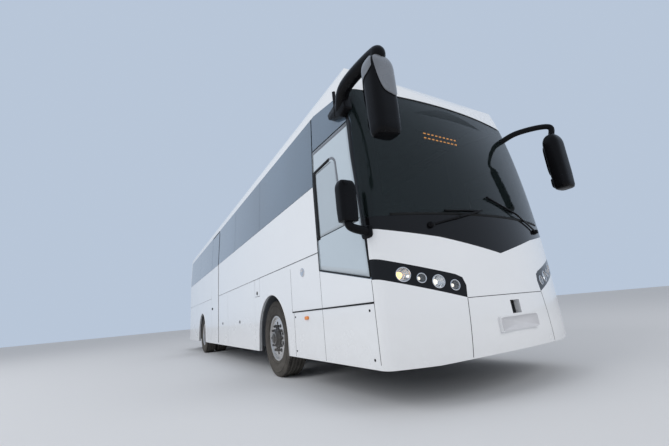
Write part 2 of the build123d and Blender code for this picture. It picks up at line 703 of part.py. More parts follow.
def floors():
    """Passenger floor, cab floor, entrance steps, bulkheads, bay floor and wheel boxes."""
    front, rear = at(cab_back_station), tail_x + wall + fit_gap
    deck = block(rear, front, -inner_half, inner_half, passenger_floor_z - floor_thickness, passenger_floor_z)
    rear_edges = [e for e in deck.edges().filter_by(Axis.Z) if e.center().X < rear + 1]
    deck = fillet(rear_edges, tail_corner_radius - wall)
    cab = block(front, nose_x, -inner_half, inner_half, cab_floor_z - floor_thickness, cab_floor_z) & nose_space
    well_back, well_front = door_rear_x + 20, door_front_x - 20
    cab -= block(well_back, well_front, stair_inner_y, far, 0, far)
    riser = (cab_floor_z - stair_sill_z) / 3
    depth = (inner_half - stair_inner_y) / 3
    stair = []
    for i in range(3):
        top = cab_floor_z - riser * (i + 1)
        y = stair_inner_y + depth * i
        stair.append(block(well_back, well_front, y - stair_plate, y, top - stair_plate, top + riser))
        stair.append(block(well_back, well_front, y - stair_plate, y + depth, top - stair_plate, top))
    steps = [block(front, front + step_depth * 2, -step_half, step_half, cab_floor_z, cab_floor_z + step_height),
             block(front, front + step_depth, -step_half, step_half, cab_floor_z, cab_floor_z + 2 * step_height)]
    riser_wall = block(front - bulkhead, front, -inner_half, inner_half, cab_floor_z - floor_thickness,
                       passenger_floor_z - floor_thickness)
    bay_front, bay_rear = at(bay_front_station), at(exit_rear_station)
    bay = block(bay_rear - bulkhead, bay_front + bulkhead, -bay_half, bay_half, bay_floor_z - floor_thickness,
                bay_floor_z)
    ends = [block(x, x + bulkhead, -bay_half, bay_half, bay_floor_z, passenger_floor_z - floor_thickness)
            for x in (bay_rear - bulkhead, bay_front)]
    pieces = [deck, cab, riser_wall, bay, *ends, *steps, *stair]
    for axle_x in (front_axle_x, rear_axle_x):
        for side in (-1, 1):
            pieces.append(wheel_box(axle_x, side))
    return fuse(pieces)


def wheel_box(axle_x, side):
    """Sheet box over one wheel: arch, inner wall and end walls up to the passenger floor."""
    half = arch_radius + arch_gap
    y0, y1 = side * wheel_box_inner_y, side * inner_half
    top = passenger_floor_z - floor_thickness
    outside = block(axle_x - half - sheet, axle_x + half + sheet, y0 - side * sheet, y1, skirt_z + 60, top)
    hollow = rod((axle_x, y0, arch_centre_z), (axle_x, y1 + side * over, arch_centre_z), half)
    hollow += block(axle_x - half, axle_x + half, y0, y1 + side * over, 0, arch_centre_z)
    shell_box = outside - hollow
    roof_cut = rod((axle_x, y0 - side * 2 * sheet, arch_centre_z), (axle_x, y1 + side * over, arch_centre_z),
                   half + sheet)
    above = block(axle_x - half, axle_x + half, y0, y1 + side * over, arch_centre_z, top + over) - roof_cut
    slot = block(axle_x - axle_slot_half, axle_x + axle_slot_half, y0 - side * 2 * sheet, y0 + side * sheet,
                 0, tyre_radius + axle_slot_half)
    return shell_box - above - slot


def frame_rails():
    """Longitudinal rails: raised over both axles and low under the luggage bay, one set on each side."""
    bay_front, bay_rear = at(bay_front_station) + bulkhead, at(exit_rear_station) - bulkhead
    rails = []
    for side in (-1, 1):
        y0, y1 = side * rail_inner_y, side * (rail_inner_y + rail_width)
        rails.append(block(bay_front + rail_width, at(rail_front_station), y0, y1, rail_z, rail_z + rail_height))
        rails.append(block(at(rail_rear_station), bay_rear - rail_width, y0, y1, rail_z, rail_z + rail_height))
        rails.append(block(bay_rear, bay_front, y0, y1, low_rail_z, low_rail_z + low_rail_height))
    return rails


def frame_members():
    """Uprights, floor posts, cross-members with their outriggers, and the towing bar with its socket."""
    bay_front, bay_rear = at(bay_front_station) + bulkhead, at(exit_rear_station) - bulkhead
    rail_outer_y = rail_inner_y + rail_width
    members = []
    for side in (-1, 1):
        y0, y1 = side * rail_inner_y, side * rail_outer_y
        for x in (bay_front, bay_rear - rail_width):
            members.append(block(x, x + rail_width, y0, y1, low_rail_z, rail_z + rail_height))
        for station, top in post_table:
            members.append(block(at(station), at(station) + rail_width, y0, y1, rail_z + rail_height, top))
        for station in high_cross_stations:
            members.append(block(at(station), at(station) + rail_width, side * (inner_half - outrigger_gap), y1,
                                 rail_z + cross_inset, rail_z + rail_height - cross_inset))
        for station in low_cross_stations:
            members.append(block(at(station), at(station) + rail_width, side * bay_half, y1,
                                 low_rail_z + low_cross_inset, low_rail_z + low_rail_height))
    for station in high_cross_stations[1:] + short_cross_stations:
        members.append(block(at(station), at(station) + rail_width, -rail_inner_y, rail_inner_y,
                             rail_z + cross_inset, rail_z + rail_height - cross_inset))
    for station in low_cross_stations:
        members.append(block(at(station), at(station) + rail_width, -rail_inner_y, rail_inner_y,
                             low_rail_z + low_cross_inset, low_rail_z + low_rail_height))
    return [tow_bar(), *members]


def tow_bar():
    """Front cross-member with the towing socket that reaches forward to the bumper's opening."""
    front = at(rail_front_station)
    socket_x = nose_face_x(0, tow_z) - wall - tow_setback
    bar = block(front - rail_width, front, -rail_inner_y, rail_inner_y, tow_z - tow_boss_radius,
                rail_z + rail_height - cross_inset)
    boss = rod((front - 1, 0, tow_z), (socket_x, 0, tow_z), tow_boss_radius)
    return bar + boss - rod((socket_x - tow_depth, 0, tow_z), (socket_x + over, 0, tow_z), tow_radius)


def front_axle():
    """Dropped beam between the two kingpin eyes, with the spring seats."""
    z = tyre_radius
    outline = []
    for y, drop in ((-kingpin_y, 0), (-beam_bend_y, 0), (-beam_bend_y + beam_bend_run, beam_drop),
                    (beam_bend_y - beam_bend_run, beam_drop), (beam_bend_y, 0), (kingpin_y, 0)):
        outline.append((y, z - drop + beam_height / 2))
    lower = [(y, top - beam_height) for y, top in reversed(outline)]
    beam = end_prism(outline + lower, front_axle_x - beam_width / 2, front_axle_x + beam_width / 2)
    web = []
    for x0, x1 in ((-far, -beam_web / 2), (beam_web / 2, far)):
        inner = [(y, top - beam_flange) for y, top in outline[1:-1]]
        under = [(y, top - beam_height + beam_flange) for y, top in reversed(outline[1:-1])]
        web.append(end_prism(inner + under, front_axle_x + x0, front_axle_x + x1))
    beam = beam - web
    for side in (-1, 1):
        eye = rod((front_axle_x, side * kingpin_y, z - kingpin_eye_height / 2),
                  (front_axle_x, side * kingpin_y, z + kingpin_eye_height / 2), kingpin_eye_radius)
        beam = beam + eye
        beam = beam + block(front_axle_x - spring_radius, front_axle_x + spring_radius,
                            side * (spring_y - spring_radius), side * (spring_y + spring_radius - pad_inset),
                            z - beam_drop + beam_height / 2 - 2, spring_foot_z)
    for side in (-1, 1):
        beam = beam - rod((front_axle_x, side * kingpin_y, 0), (front_axle_x, side * kingpin_y, far),
                          kingpin_radius + fit_gap)
    return beam


def knuckle(side):
    """Steering knuckle: forked round the beam eye, with kingpin, stub axle and steering arm."""
    z, y, x = tyre_radius, side * kingpin_y, front_axle_x
    half = kingpin_eye_height / 2
    web_y0, web_y1 = side * (kingpin_y + kingpin_eye_radius + 8), side * (wheel_y - hub_half - 5)
    reach, lug = half + lug_height + knuckle_gap, kingpin_eye_radius - lug_inset
    pieces = [block(x - knuckle_half, x + knuckle_half, web_y0, web_y1, z - reach, z + reach)]
    for sign in (-1, 1):
        z0, z1 = z + sign * (half + knuckle_gap), z + sign * reach
        pieces.append(rod((x, y, z0), (x, y, z1), lug))
        pieces.append(block(x - lug, x + lug, y, web_y1, z0, z1))
    pieces.append(rod((x, y, z - reach), (x, y, z + reach), kingpin_radius))
    pieces.append(rod((x, web_y1 - side * 2, z), (x, side * (wheel_y + stub_end), z), stub_radius))
    pieces.append(block(x - arm_length, x, y - arm_half, y + arm_half, z - reach, z - half - arm_gap))
    return fuse(pieces)


def rear_axle():
    """Banjo housing with the final drive, tapering to the two hub spindles."""
    z, x = tyre_radius, rear_axle_x
    inner = twin_y - twin_spacing / 2 - tube_setback
    spindle = rod((x, -twin_y - spindle_reach, z), (x, twin_y + spindle_reach, z), stub_radius)
    tube = rod((x, -inner, z), (x, inner, z), axle_tube_radius)
    drive = Pos(x, 0, z) * Sphere(drive_radius)
    nose = Plane(origin=(x, 0, z), z_dir=(-1, 0, 0)) * Circle(drive_radius * drive_nose_share)
    pieces = [spindle, tube, drive, extrude(nose, amount=drive_nose, taper=drive_nose_taper)]
    half, top = spring_reach + spring_arm_over, z - axle_tube_radius + spring_arm_rise
    for side in (-1, 1):
        pieces.append(block(x - half, x + half, side * (spring_y - spring_arm_half),
                            side * (spring_y + spring_arm_half), top - spring_arm_height, top))
    return fuse(pieces)


def air_springs():
    """Air bellows between the axles and the underframe."""
    bellows = []
    rear_foot = tyre_radius - axle_tube_radius + spring_arm_rise + fit_gap
    for side in (-1, 1):
        bellows.append(bellow(front_axle_x, side * spring_y, spring_foot_z + fit_gap))
        for reach in (-spring_reach, spring_reach):
            bellows.append(bellow(rear_axle_x + reach, side * spring_y, rear_foot))
    return bellows


def bellow(x, y, foot):
    """Two-lobed air bellow from its foot up to the rail."""
    height = rail_z - fit_gap - foot
    outline = [(spring_radius * r, height * h) for r, h in bellow_profile]
    return Pos(x, y, foot) * revolve(make_face(Plane.XZ * Polyline(*outline, close=True)), Axis.Z)


def tyre(y, shoulder):
    """Tyre ring about the wheel axis: bore, sidewalls and a flat tread; a hidden one has plain sidewalls."""
    bead, half = rim_radius + fit_gap, tyre_width / 2
    flank = [(bead, bead_half), (tyre_bulge_radius, half), (tyre_radius, shoulder)]
    if shoulder == half:
        flank = [(bead, bead_half), (tyre_radius, half)]
    outline = flank + [(r, -w) for r, w in reversed(flank)]
    return Pos(0, y, tyre_radius) * revolve(make_face(Polyline(*outline, close=True)), Axis.Y)


def wheel(profile, y, side, hole_depth):
    """Wheel and hub turned from a (radius, outboard offset) profile, with a ring of hand holes."""
    outline = make_face(Polyline(*[(r, side * w) for r, w in profile], close=True))
    body = revolve(outline, Axis.Y)
    holes = []
    for i in range(hand_hole_count):
        angle = radians(360 / hand_hole_count * (i + 0.5))
        x, z = hand_hole_circle * cos(angle), hand_hole_circle * sin(angle)
        holes.append(rod((x, side * hole_depth[0], z), (x, side * hole_depth[1], z), hand_hole_radius))
    body = body - holes
    return Pos(0, y, tyre_radius) * body


# Half sections of the wheels with their hubs, as (radius, distance outboard of the wheel's middle)
bore = stub_radius + fit_gap
front_wheel_profile = (
    (305, -117), (305, -105), (292, -98), (292, 98), (305, 105), (305, 117), (286, 117), (276, 90), (238, 98),
    (150, 104), (98, 104), (98, 150), (80, 163), (0, 163), (0, 75), (bore, 75), (bore, -70), (112, -70),
    (112, 72), (150, 80), (232, 74), (262, 58), (272, -106), (286, -117),
)
rear_wheel_profile = (
    (286, -283), (305, -283), (305, -271), (292, -264), (292, -68), (305, -61), (305, -49), (282, -49),
    (262, -20), (262, 20), (282, 49), (305, 49), (305, 61), (292, 68), (292, 264), (305, 271), (305, 283),
    (286, 283), (272, 262), (264, 110), (236, 50), (150, 26), (112, 26), (112, 120), (90, 134), (0, 134),
    (0, 60), (bore, 60), (bore, -200), (130, -200), (130, -30), (150, -26), (236, -50), (264, -110), (272, -262),
)


def seat_profiles(x, z, heights):
    """Side outlines of a seat's cushion and of its reclined back, which meet in one slanting line."""
    cushion_z, back_z = z + heights[0], z + heights[1]
    heel, knee = (x - 40, cushion_z - cushion_drop), (x + 60, cushion_z)
    nose = heel[0] + cushion_length
    cushion = [heel, (nose, heel[1] + cushion_climb), (nose + 20, cushion_z - 50), (nose, cushion_z - 5), knee]
    back = [heel, knee, (x - 90, back_z - 70), (x - 130, back_z), (x - 190, back_z - 10), (x - 190, back_z - 70)]
    return cushion, back


def seat_foot(heel, z, foot, y):
    """Pedestal from the floor up to the sloping underside of the cushion, about one middle line."""
    front, rear, half = foot
    heads = []
    for ahead in (front, rear):
        heads.append((heel[0] + ahead, heel[1] + ahead * cushion_climb / cushion_length - fit_gap))
    return side_prism([(heads[1][0], z), (heads[0][0], z), *heads], y - half, y + half)


def passenger_seats():
    """Rows of double seats either side of the aisle: cushions, then one back for each place and the feet."""
    cushions, backs, feet = [], [], []
    z = passenger_floor_z
    for row in range(seat_rows):
        x = at(seat_first_station - row * seat_pitch)
        cushion, back = seat_profiles(x, z, seat_heights)
        for side in (-1, 1):
            inner, outer = side * aisle_half_width, side * (aisle_half_width + seat_width)
            middle = (inner + outer) / 2
            cushions.append(side_prism(cushion, *sorted((inner, outer))))
            for edge in (inner, outer):
                near = middle + (backs_apart if edge > middle else -backs_apart)
                backs.append(side_prism(back, *sorted((edge, near))))
            feet.append(seat_foot(cushion[0], z, seat_feet, middle))
    return cushions, backs + feet


def luggage_racks():
    """Overhead racks along both sides, fixed to the side wall under the roof."""
    racks = []
    for side in (-1, 1):
        profile = [(lining_y(rack_top_z), rack_top_z), (lining_y(rack_z), rack_z), (rack_inner_y + 55, rack_z - 25),
                   (rack_inner_y + 5, rack_z - 5), (rack_inner_y, rack_z + rack_lip),
                   (rack_inner_y + 15, rack_z + rack_lip), (rack_inner_y + 70, rack_z),
                   (lining_y(rack_top_z) - 20, rack_z + rack_shelf)]
        outline = [(side * y, z) for y, z in profile]
        racks.append(end_prism(outline, tail_x + rack_end, at(cab_back_station) - rack_end))
    return racks


def dashboard():
    """Fascia with binnacle and steering column."""
    outline = [(at(station), z) for station, z in fascia_outline]
    fascia = side_prism(outline, -inner_half, stair_inner_y - 2 * stair_plate) & nose_space
    top = wheel_hub(-hub_drop - fit_gap)
    foot = wheel_hub(-column_length)
    return fascia + rod(foot, top, column_radius)


def wheel_hub(along):
    """Point on the steering column's axis, measured upwards from the steering wheel's plane."""
    tilt = radians(column_tilt)
    return (at(steering_station) - along * sin(tilt), driver_y, steering_z + along * cos(tilt))


def steering_wheel():
    """Rim, hub and three spokes about the column axis."""
    tilt = radians(column_tilt)
    plane = Plane(origin=wheel_hub(0), x_dir=(0, 1, 0), z_dir=(-sin(tilt), 0, cos(tilt)))
    section = Pos(steering_radius, 0) * RegularPolygon(steering_grip, 8)
    rim = revolve(Plane.XZ * section, Axis.Z)
    hub = Pos(0, 0, -hub_drop / 2) * Cylinder(hub_radius, hub_drop)
    spoke = Pos(steering_radius / 2, 0, -spoke_drop) * Box(steering_radius, spoke_width, spoke_thickness)
    spokes = [Rot(0, 0, 90 + 120 * i) * spoke for i in range(3)]
    return plane.location * fuse([rim, hub, *spokes])


def driver_seat():
    """Driver's seat: cushion, then back and pedestal."""
    z = cab_floor_z
    x = at(driver_seat_station)
    cushion, back = seat_profiles(x, z, driver_seat_heights)
    y0, y1 = driver_y - driver_seat_width / 2, driver_y + driver_seat_width / 2
    foot = seat_foot(cushion[0], z, driver_seat_foot, driver_y)
    return [side_prism(cushion, y0, y1)], [side_prism(back, y0, y1), foot]


def mirror_head(x, y, foot, head, width, depth):
    """Mirror housing lofted through rounded sections that narrow at its foot and its head."""
    sections = []
    for share, scale in mirror_scales:
        long, short = width * scale, depth * scale
        outline = RectangleRounded(short, long, mirror_rounding * short)
        sections.append(Pos(x, y, foot + (head - foot) * share) * outline)
    return loft(sections, ruled=True)


def mirror_arm(points, radii):
    """Bent round arm that tapers from its root to its tip, with a knuckle at each bend."""
    arm = None
    for start, end, r0, r1 in zip(points, points[1:], radii, radii[1:]):
        direction = Vector(*end) - Vector(*start)
        place = Plane(origin=start, z_dir=direction).location
        span = place * Cone(r0, r1, direction.length, align=(Align.CENTER, Align.CENTER, Align.MIN))
        arm = span if arm is None else arm + (Pos(*start) * Sphere(r0 + knuckle_lip)) + span
    return arm


def mirrors():
    """Hanging main mirrors at both front corners and the low mirror at the driver's window."""
    x = at(mirror_station)
    near_x = x - 60
    off = mirror_head(x, -mirror_y, mirror_foot_z, mirror_foot_z + 670, 240, mirror_depth)
    off += mirror_arm([(at(2330), -1255, 2760), (at(2560), -1325, 2870), (x, -mirror_y, 2840), (x, -mirror_y, 2740)],
                      (62, 52, 44, 40))
    off += side_prism([(at(a), z) for a, z in mirror_fin], -1315, -1215)
    near = mirror_head(near_x, mirror_y, 1950, 2640, 230, 180)
    near += mirror_arm([(at(2480), 1000, 2700), (at(2700), 1150, 2790), (near_x, mirror_y, 2760),
                        (near_x, mirror_y, 2600)], (34, 30, 26, 24))
    low = mirror_head(at(2570), -1455, 1520, 1880, 185, 130)
    low += mirror_arm([(at(2565), -1250, 1430), (at(2570), -1440, 1470), (at(2570), -1455, 1560)], (34, 28, 22))
    return [piece - nose_skin for piece in (off, near, low)]


def nose_face_x(y, z):
    """X of the nose's outer face at a point of the end view."""
    for (z0, nose0, corner0, r0), (z1, nose1, corner1, r1) in zip(nose_lean_table, nose_lean_table[1:]):
        if z0 <= z <= z1:
            share = (z - z0) / (z1 - z0)
            nose = nose0 + (nose1 - nose0) * share
            bow = nose - (corner0 + (corner1 - corner0) * share)
            radius = (body_half_width ** 2 + bow ** 2) / (2 * bow)
            return seam_x + nose - radius + sqrt(radius ** 2 - y ** 2)
    return nose_x


def wiper(pivot, tip, blade_from):
    """One wiper parked along the foot of the screen: pivot boss, arm and a jointed blade."""
    def ahead(point, gap):
        y, z = point
        return (nose_face_x(y, z) + gap, y, z)
    boss = rod((nose_face_x(*pivot) - 60, *pivot), ahead(pivot, 34), 24)
    middle = ((pivot[0] + tip[0]) / 2, (pivot[1] + tip[1]) / 2)
    arm = rod(ahead(pivot, 26), ahead(middle, 34), 9) + (Pos(*ahead(middle, 34)) * Sphere(11))
    arm += rod(ahead(middle, 34), ahead(tip, 24), 9)
    blade_middle = ((tip[0] + blade_from[0]) / 2, (tip[1] + blade_from[1]) / 2)
    blade = rod(ahead(tip, 16), ahead(blade_middle, 16), 8) + (Pos(*ahead(blade_middle, 16)) * Sphere(10))
    blade += rod(ahead(blade_middle, 16), ahead(blade_from, 16), 8)
    return (boss + arm + blade) - nose_skin


def wipers():
    """Two wiper arms with their blades, parked along the foot of the screen."""
    return [wiper((-736, 1462), (-109, 1612), (-560, 1600)), wiper((930, 1470), (40, 1770), (480, 1640))]


def powertrain():
    """Rear engine as one plain block between the rails, with its gearbox and propeller shaft."""
    half = rail_inner_y - fit_gap
    rear = tail_x + wall + engine_clearance
    front = rear + engine_length
    engine = block(rear, front, -half, half, engine_foot_z, engine_foot_z + engine_height)
    gearbox_end = front + gearbox_length
    box_z = engine_foot_z + gearbox_lift
    gearbox = block(front, gearbox_end, -gearbox_half, gearbox_half, box_z, box_z + gearbox_height)
    shaft = rod((gearbox_end - 1, 0, tyre_radius + shaft_rise),
                (rear_axle_x - drive_nose - shaft_gap, 0, tyre_radius), shaft_radius)
    return engine + gearbox + shaft


def filler_flap():
    """Small top-hinged flap over the filler, behind the front wheel."""
    return main_wall & block(at(bay_front_station) + seam + shut_gap, at(filler_front_station) - shut_gap, -far, -side_cut_y,
                             filler_foot_z + shut_gap, waist_z - hinge_radius - fit_gap)


def add(name, shape):
    """Keep one named piece; a list becomes one node of separate solids."""
    parts[name] = Compound(children=list(shape)) if isinstance(shape, (list, tuple)) else shape


add("side_wall_offside", side_wall(-1))
add("side_wall_nearside", side_wall(1))
add("roof", roof())
rear_wall, rear_pane, rear_lamp_pair, engine_lid = tail_pieces()
add("rear_wall", rear_wall)
add("rear_window", rear_pane)
add("rear_lamps", rear_lamp_pair)
add("engine_lid", engine_lid)
bumper, panel, sill, bands, lamps, screen, frame = nose_pieces()
add("front_bumper", bumper)
add("front_panel", panel)
add("screen_panel", sill)
add("windscreen", screen)
add("screen_frame", frame)
add("lamp_bands", bands)
add("front_lamps", lamps)
add("side_glazing_offside", side_glazing(-1))
add("side_glazing_nearside", side_glazing(1))
add("passenger_door", passenger_door())
leaf, exit_pane = emergency_door()
add("emergency_door", leaf)
add("emergency_door_glass", exit_pane)
for door_name, door_front, door_rear, door_side in luggage_doors:
    add(door_name, luggage_door(door_front, door_rear, door_side))
add("filler_flap", filler_flap())
add("floors", floors())
add("chassis_frame", frame_rails())
add("frame_members", frame_members())
add("front_axle", front_axle())
add("rear_axle", rear_axle())
add("air_springs", air_springs())
add("powertrain", powertrain())
add("dashboard", dashboard())
add("steering_wheel", steering_wheel())
for name, first, others in zip(("seat_cushions", "seat_frames"), driver_seat(), passenger_seats()):
    add(name, first + others)
add("luggage_racks", luggage_racks())
add("mirrors", mirrors())
add("wipers", wipers())
for side_name, side in (("offside", -1), ("nearside", 1)):
    add("knuckle_" + side_name, knuckle(side))
    move = Pos(front_axle_x, 0, 0)
    add("front_tyre_" + side_name, move * tyre(side * wheel_y, tread_shoulder))
    add("front_wheel_" + side_name, move * wheel(front_wheel_profile, side * wheel_y, side, (60, 120)))
    move = Pos(rear_axle_x, 0, 0)
    inner, outer = twin_y - twin_spacing / 2, twin_y + twin_spacing / 2
    pair = [tyre(side * inner, tyre_width / 2), tyre(side * outer, tread_shoulder)]
    add("rear_tyres_" + side_name, [move * one for one in pair])
    add("rear_wheel_" + side_name, move * wheel(rear_wheel_profile, side * twin_y, side, (-60, 60)))

os.makedirs("parts", exist_ok=True)
for name, shape in parts.items():
    export_step(shape, f"parts/{name}.step")
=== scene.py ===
# %% [markdown]
# # A touring coach, dressed in Blender
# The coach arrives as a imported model: every panel, axle and seat is already at its real size and place.
# This lesson gives those pieces their finishes and adds what is too fine for a solid model: tread,
# wheel nuts, rubber seals, lamp bowls, mirror heads and seat covers.

# %% Load the coach
import math

import bmesh
import bpy
import numpy as np
from mathutils import Matrix, Vector
from mathutils.bvhtree import BVHTree


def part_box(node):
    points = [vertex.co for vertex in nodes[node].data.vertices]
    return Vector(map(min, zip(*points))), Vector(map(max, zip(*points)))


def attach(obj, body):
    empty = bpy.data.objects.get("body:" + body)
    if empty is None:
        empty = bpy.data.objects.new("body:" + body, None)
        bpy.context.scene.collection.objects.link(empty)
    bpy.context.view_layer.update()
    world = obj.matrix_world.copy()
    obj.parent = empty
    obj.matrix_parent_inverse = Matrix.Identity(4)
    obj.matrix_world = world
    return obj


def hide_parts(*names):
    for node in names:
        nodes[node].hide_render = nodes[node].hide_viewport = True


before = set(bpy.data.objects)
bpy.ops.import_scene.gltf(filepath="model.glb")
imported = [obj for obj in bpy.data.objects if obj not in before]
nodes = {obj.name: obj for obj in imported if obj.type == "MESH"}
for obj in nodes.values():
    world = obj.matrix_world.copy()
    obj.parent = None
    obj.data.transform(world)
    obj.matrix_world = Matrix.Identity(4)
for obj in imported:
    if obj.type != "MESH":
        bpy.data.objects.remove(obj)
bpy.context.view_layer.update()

# %% [markdown]
# ## Camera
# The picture was taken from knee height, close to the driver's front corner, with a wide lens that was
# tipped up and rolled a little. The camera's place is measured from the front axle, and its three angles
# build the rotation directly, because a rolled camera is awkward to aim with a target.

# %% Place the camera
front_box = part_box("front_tyre_offside")
front_axle_x = (front_box[0].x + front_box[1].x) / 2
rear_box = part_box("rear_tyres_offside")
rear_axle_x = (rear_box[0].x + rear_box[1].x) / 2
axle_z = (front_box[0].z + front_box[1].z) / 2


def station(s):
    """X of a place that is measured in metres from the front axle: the axle's own X plus s."""
    return front_axle_x + s


camera_place = Vector((station(4.8625), -2.9396, 0.7894))
yaw, pitch, roll = (math.radians(angle) for angle in (149.550, 14.823, 5.301))
photo_width_px = 669
focal_px = 337.7
sensor_mm = 36.0

forward = Vector((math.cos(yaw) * math.cos(pitch), math.sin(yaw) * math.cos(pitch), math.sin(pitch)))
level_right = Vector((math.sin(yaw), -math.cos(yaw), 0))
level_down = forward.cross(level_right)
right = math.cos(roll) * level_right + math.sin(roll) * level_down
up = math.sin(roll) * level_right - math.cos(roll) * level_down
turn = Matrix((right, up, -forward)).transposed().to_4x4()

camera_data = bpy.data.cameras.new("camera")
camera_data.sensor_width = sensor_mm
camera_data.lens = focal_px / photo_width_px * sensor_mm
camera_data.clip_end = 400
camera = bpy.data.objects.new("camera", camera_data)
bpy.context.scene.collection.objects.link(camera)
camera.matrix_world = Matrix.Translation(camera_place) @ turn
bpy.context.scene.camera = camera
print("lens", round(camera_data.lens, 2), "mm")

# %% [markdown]
# ## Floor and light
# A pale floor and an even sky stand in for a studio. The camera, mirrors and glass see the world as one
# plain hazy blue, and the paint receives a softer, paler light from it. Two large lamps give the side and
# the nose their gentle difference in tone. Paint and glass don't mirror the lamps, only the sky.

# %% Build the stage
scene = bpy.context.scene
scene.view_settings.view_transform = "Standard"

sky_seen = (0.48, 0.565, 0.69, 1)
sky_light = (0.92, 0.95, 1.0, 1)
sky_light_strength = 0.62

world = bpy.data.worlds.new("studio")
scene.world = world
world.use_nodes = True
tree = world.node_tree
tree.nodes.clear()
seen = tree.nodes.new("ShaderNodeBackground")
seen.inputs["Color"].default_value = sky_seen
seen.inputs["Strength"].default_value = 1.0
ambient = tree.nodes.new("ShaderNodeBackground")
ambient.inputs["Color"].default_value = sky_light
ambient.inputs["Strength"].default_value = sky_light_strength
path = tree.nodes.new("ShaderNodeLightPath")
camera_or_gloss = tree.nodes.new("ShaderNodeMath")
camera_or_gloss.operation = "MAXIMUM"
or_through = tree.nodes.new("ShaderNodeMath")
or_through.operation = "MAXIMUM"
choose = tree.nodes.new("ShaderNodeMixShader")
world_out = tree.nodes.new("ShaderNodeOutputWorld")
tree.links.new(path.outputs["Is Camera Ray"], camera_or_gloss.inputs[0])
tree.links.new(path.outputs["Is Glossy Ray"], camera_or_gloss.inputs[1])
tree.links.new(camera_or_gloss.outputs[0], or_through.inputs[0])
tree.links.new(path.outputs["Is Transmission Ray"], or_through.inputs[1])
tree.links.new(or_through.outputs[0], choose.inputs[0])
tree.links.new(ambient.outputs[0], choose.inputs[1])
tree.links.new(seen.outputs[0], choose.inputs[2])
tree.links.new(choose.outputs[0], world_out.inputs["Surface"])
print("world nodes", len(tree.nodes))

# %% Lay the floor and hang the lamps
floor_half = 90.0
floor_mesh = bpy.data.meshes.new("floor")
floor_mesh.from_pydata([(-floor_half, -floor_half, 0), (floor_half, -floor_half, 0),
                        (floor_half, floor_half, 0), (-floor_half, floor_half, 0)], [], [(0, 1, 2, 3)])
floor = bpy.data.objects.new("floor", floor_mesh)
scene.collection.objects.link(floor)
floor_finish = bpy.data.materials.new("pale_floor")
floor_finish.use_nodes = True
floor_shader = floor_finish.node_tree.nodes["Principled BSDF"]
floor_shader.inputs["Base Color"].default_value = (0.66, 0.67, 0.69, 1)
floor_shader.inputs["Roughness"].default_value = 0.9
floor_mesh.materials.append(floor_finish)


def area_lamp(name, place, target, size, watts):
    """Square lamp at place that faces target."""
    data = bpy.data.lights.new(name, "AREA")
    data.size = size
    data.energy = watts
    lamp = bpy.data.objects.new(name, data)
    scene.collection.objects.link(lamp)
    lamp.location = place
    lamp.visible_glossy = False
    lamp.rotation_euler = (Vector(target) - Vector(place)).to_track_quat("-Z", "Y").to_euler()


area_lamp("side_lamp", (2, -16, 11), (0, 0, 1.5), 12, 1500)
area_lamp("front_lamp", (17, 4, 8), (5, 0, 1.5), 8, 650)
print("lamps", sorted(lamp.name for lamp in bpy.data.lights))

# %% [markdown]
# ## Helpers for shapes
# Nearly every new piece here is a surface over a grid: a function turns two parameters into points, as
# whole arrays, and neighbouring points become four-sided faces. Several such grids are stacked into one
# mesh, so a ring of ten wheel nuts is still a single piece.

# %% Grids, stacks and copies


def grid(points, close_u=False, close_v=False):
    """Vertices and faces of a grid of points (rows, columns, 3): each cell becomes one face."""
    rows, columns = points.shape[:2]
    index = np.arange(rows * columns).reshape(rows, columns)
    if close_u:
        index = np.concatenate([index, index[:1]], axis=0)
    if close_v:
        index = np.concatenate([index, index[:, :1]], axis=1)
    a, b, c, d = index[:-1, :-1], index[1:, :-1], index[1:, 1:], index[:-1, 1:]
    return points.reshape(-1, 3), np.stack([a, b, c, d], axis=-1).reshape(-1, 4)


def stack(pieces):
    """Join (vertices, faces) pairs into one pair."""
    vertices, faces, count = [], [], 0
    for v, f in pieces:
        vertices.append(v)
        faces.append(f + count)
        count += len(v)
    return np.concatenate(vertices), np.concatenate(faces)


def copies(shape, rotations, places):
    """Repeat one (vertices, faces) pair: each copy is turned by its 3 by 3 matrix, then moved."""
    v, f = shape
    moved = np.einsum("nij,vj->nvi", np.asarray(rotations, float), v) + np.asarray(places, float)[:, None, :]
    shift = np.arange(len(moved))[:, None, None] * len(v)
    return moved.reshape(-1, 3), (f[None] + shift).reshape(-1, f.shape[1])


small_grid = grid(np.zeros((3, 4, 3)))
print("a grid of 3 by 4 points has", len(small_grid[1]), "faces")

# %% [markdown]
# ## Turned shapes, bars and pillows
# Three basic shapes come back all over the coach. Nuts, hubs and lamps are turned, which means that one
# profile is swept about an axis. Mirror arms and lips are round bars along a path. Cushions, handles and
# small boxes are pillows: boxes with round edges, worked out as a flattened ball.

# %% Turned shapes, bars and pillows


def turned(profile, steps, axis="y"):
    """Profile of (radius, offset) points swept about an axis: radius times cosine and sine of the turn."""
    profile = np.asarray(profile, float)
    t = np.linspace(0, 2 * np.pi, steps, endpoint=False)[:, None]
    r, w = profile[None, :, 0], profile[None, :, 1]
    flat = [r * np.cos(t), np.broadcast_to(w, (steps, len(profile))), r * np.sin(t)]
    order = {"y": (0, 1, 2), "x": (1, 0, 2)}[axis]
    points = np.stack([flat[i] for i in order], axis=-1)
    return grid(points, close_u=True, close_v=True)


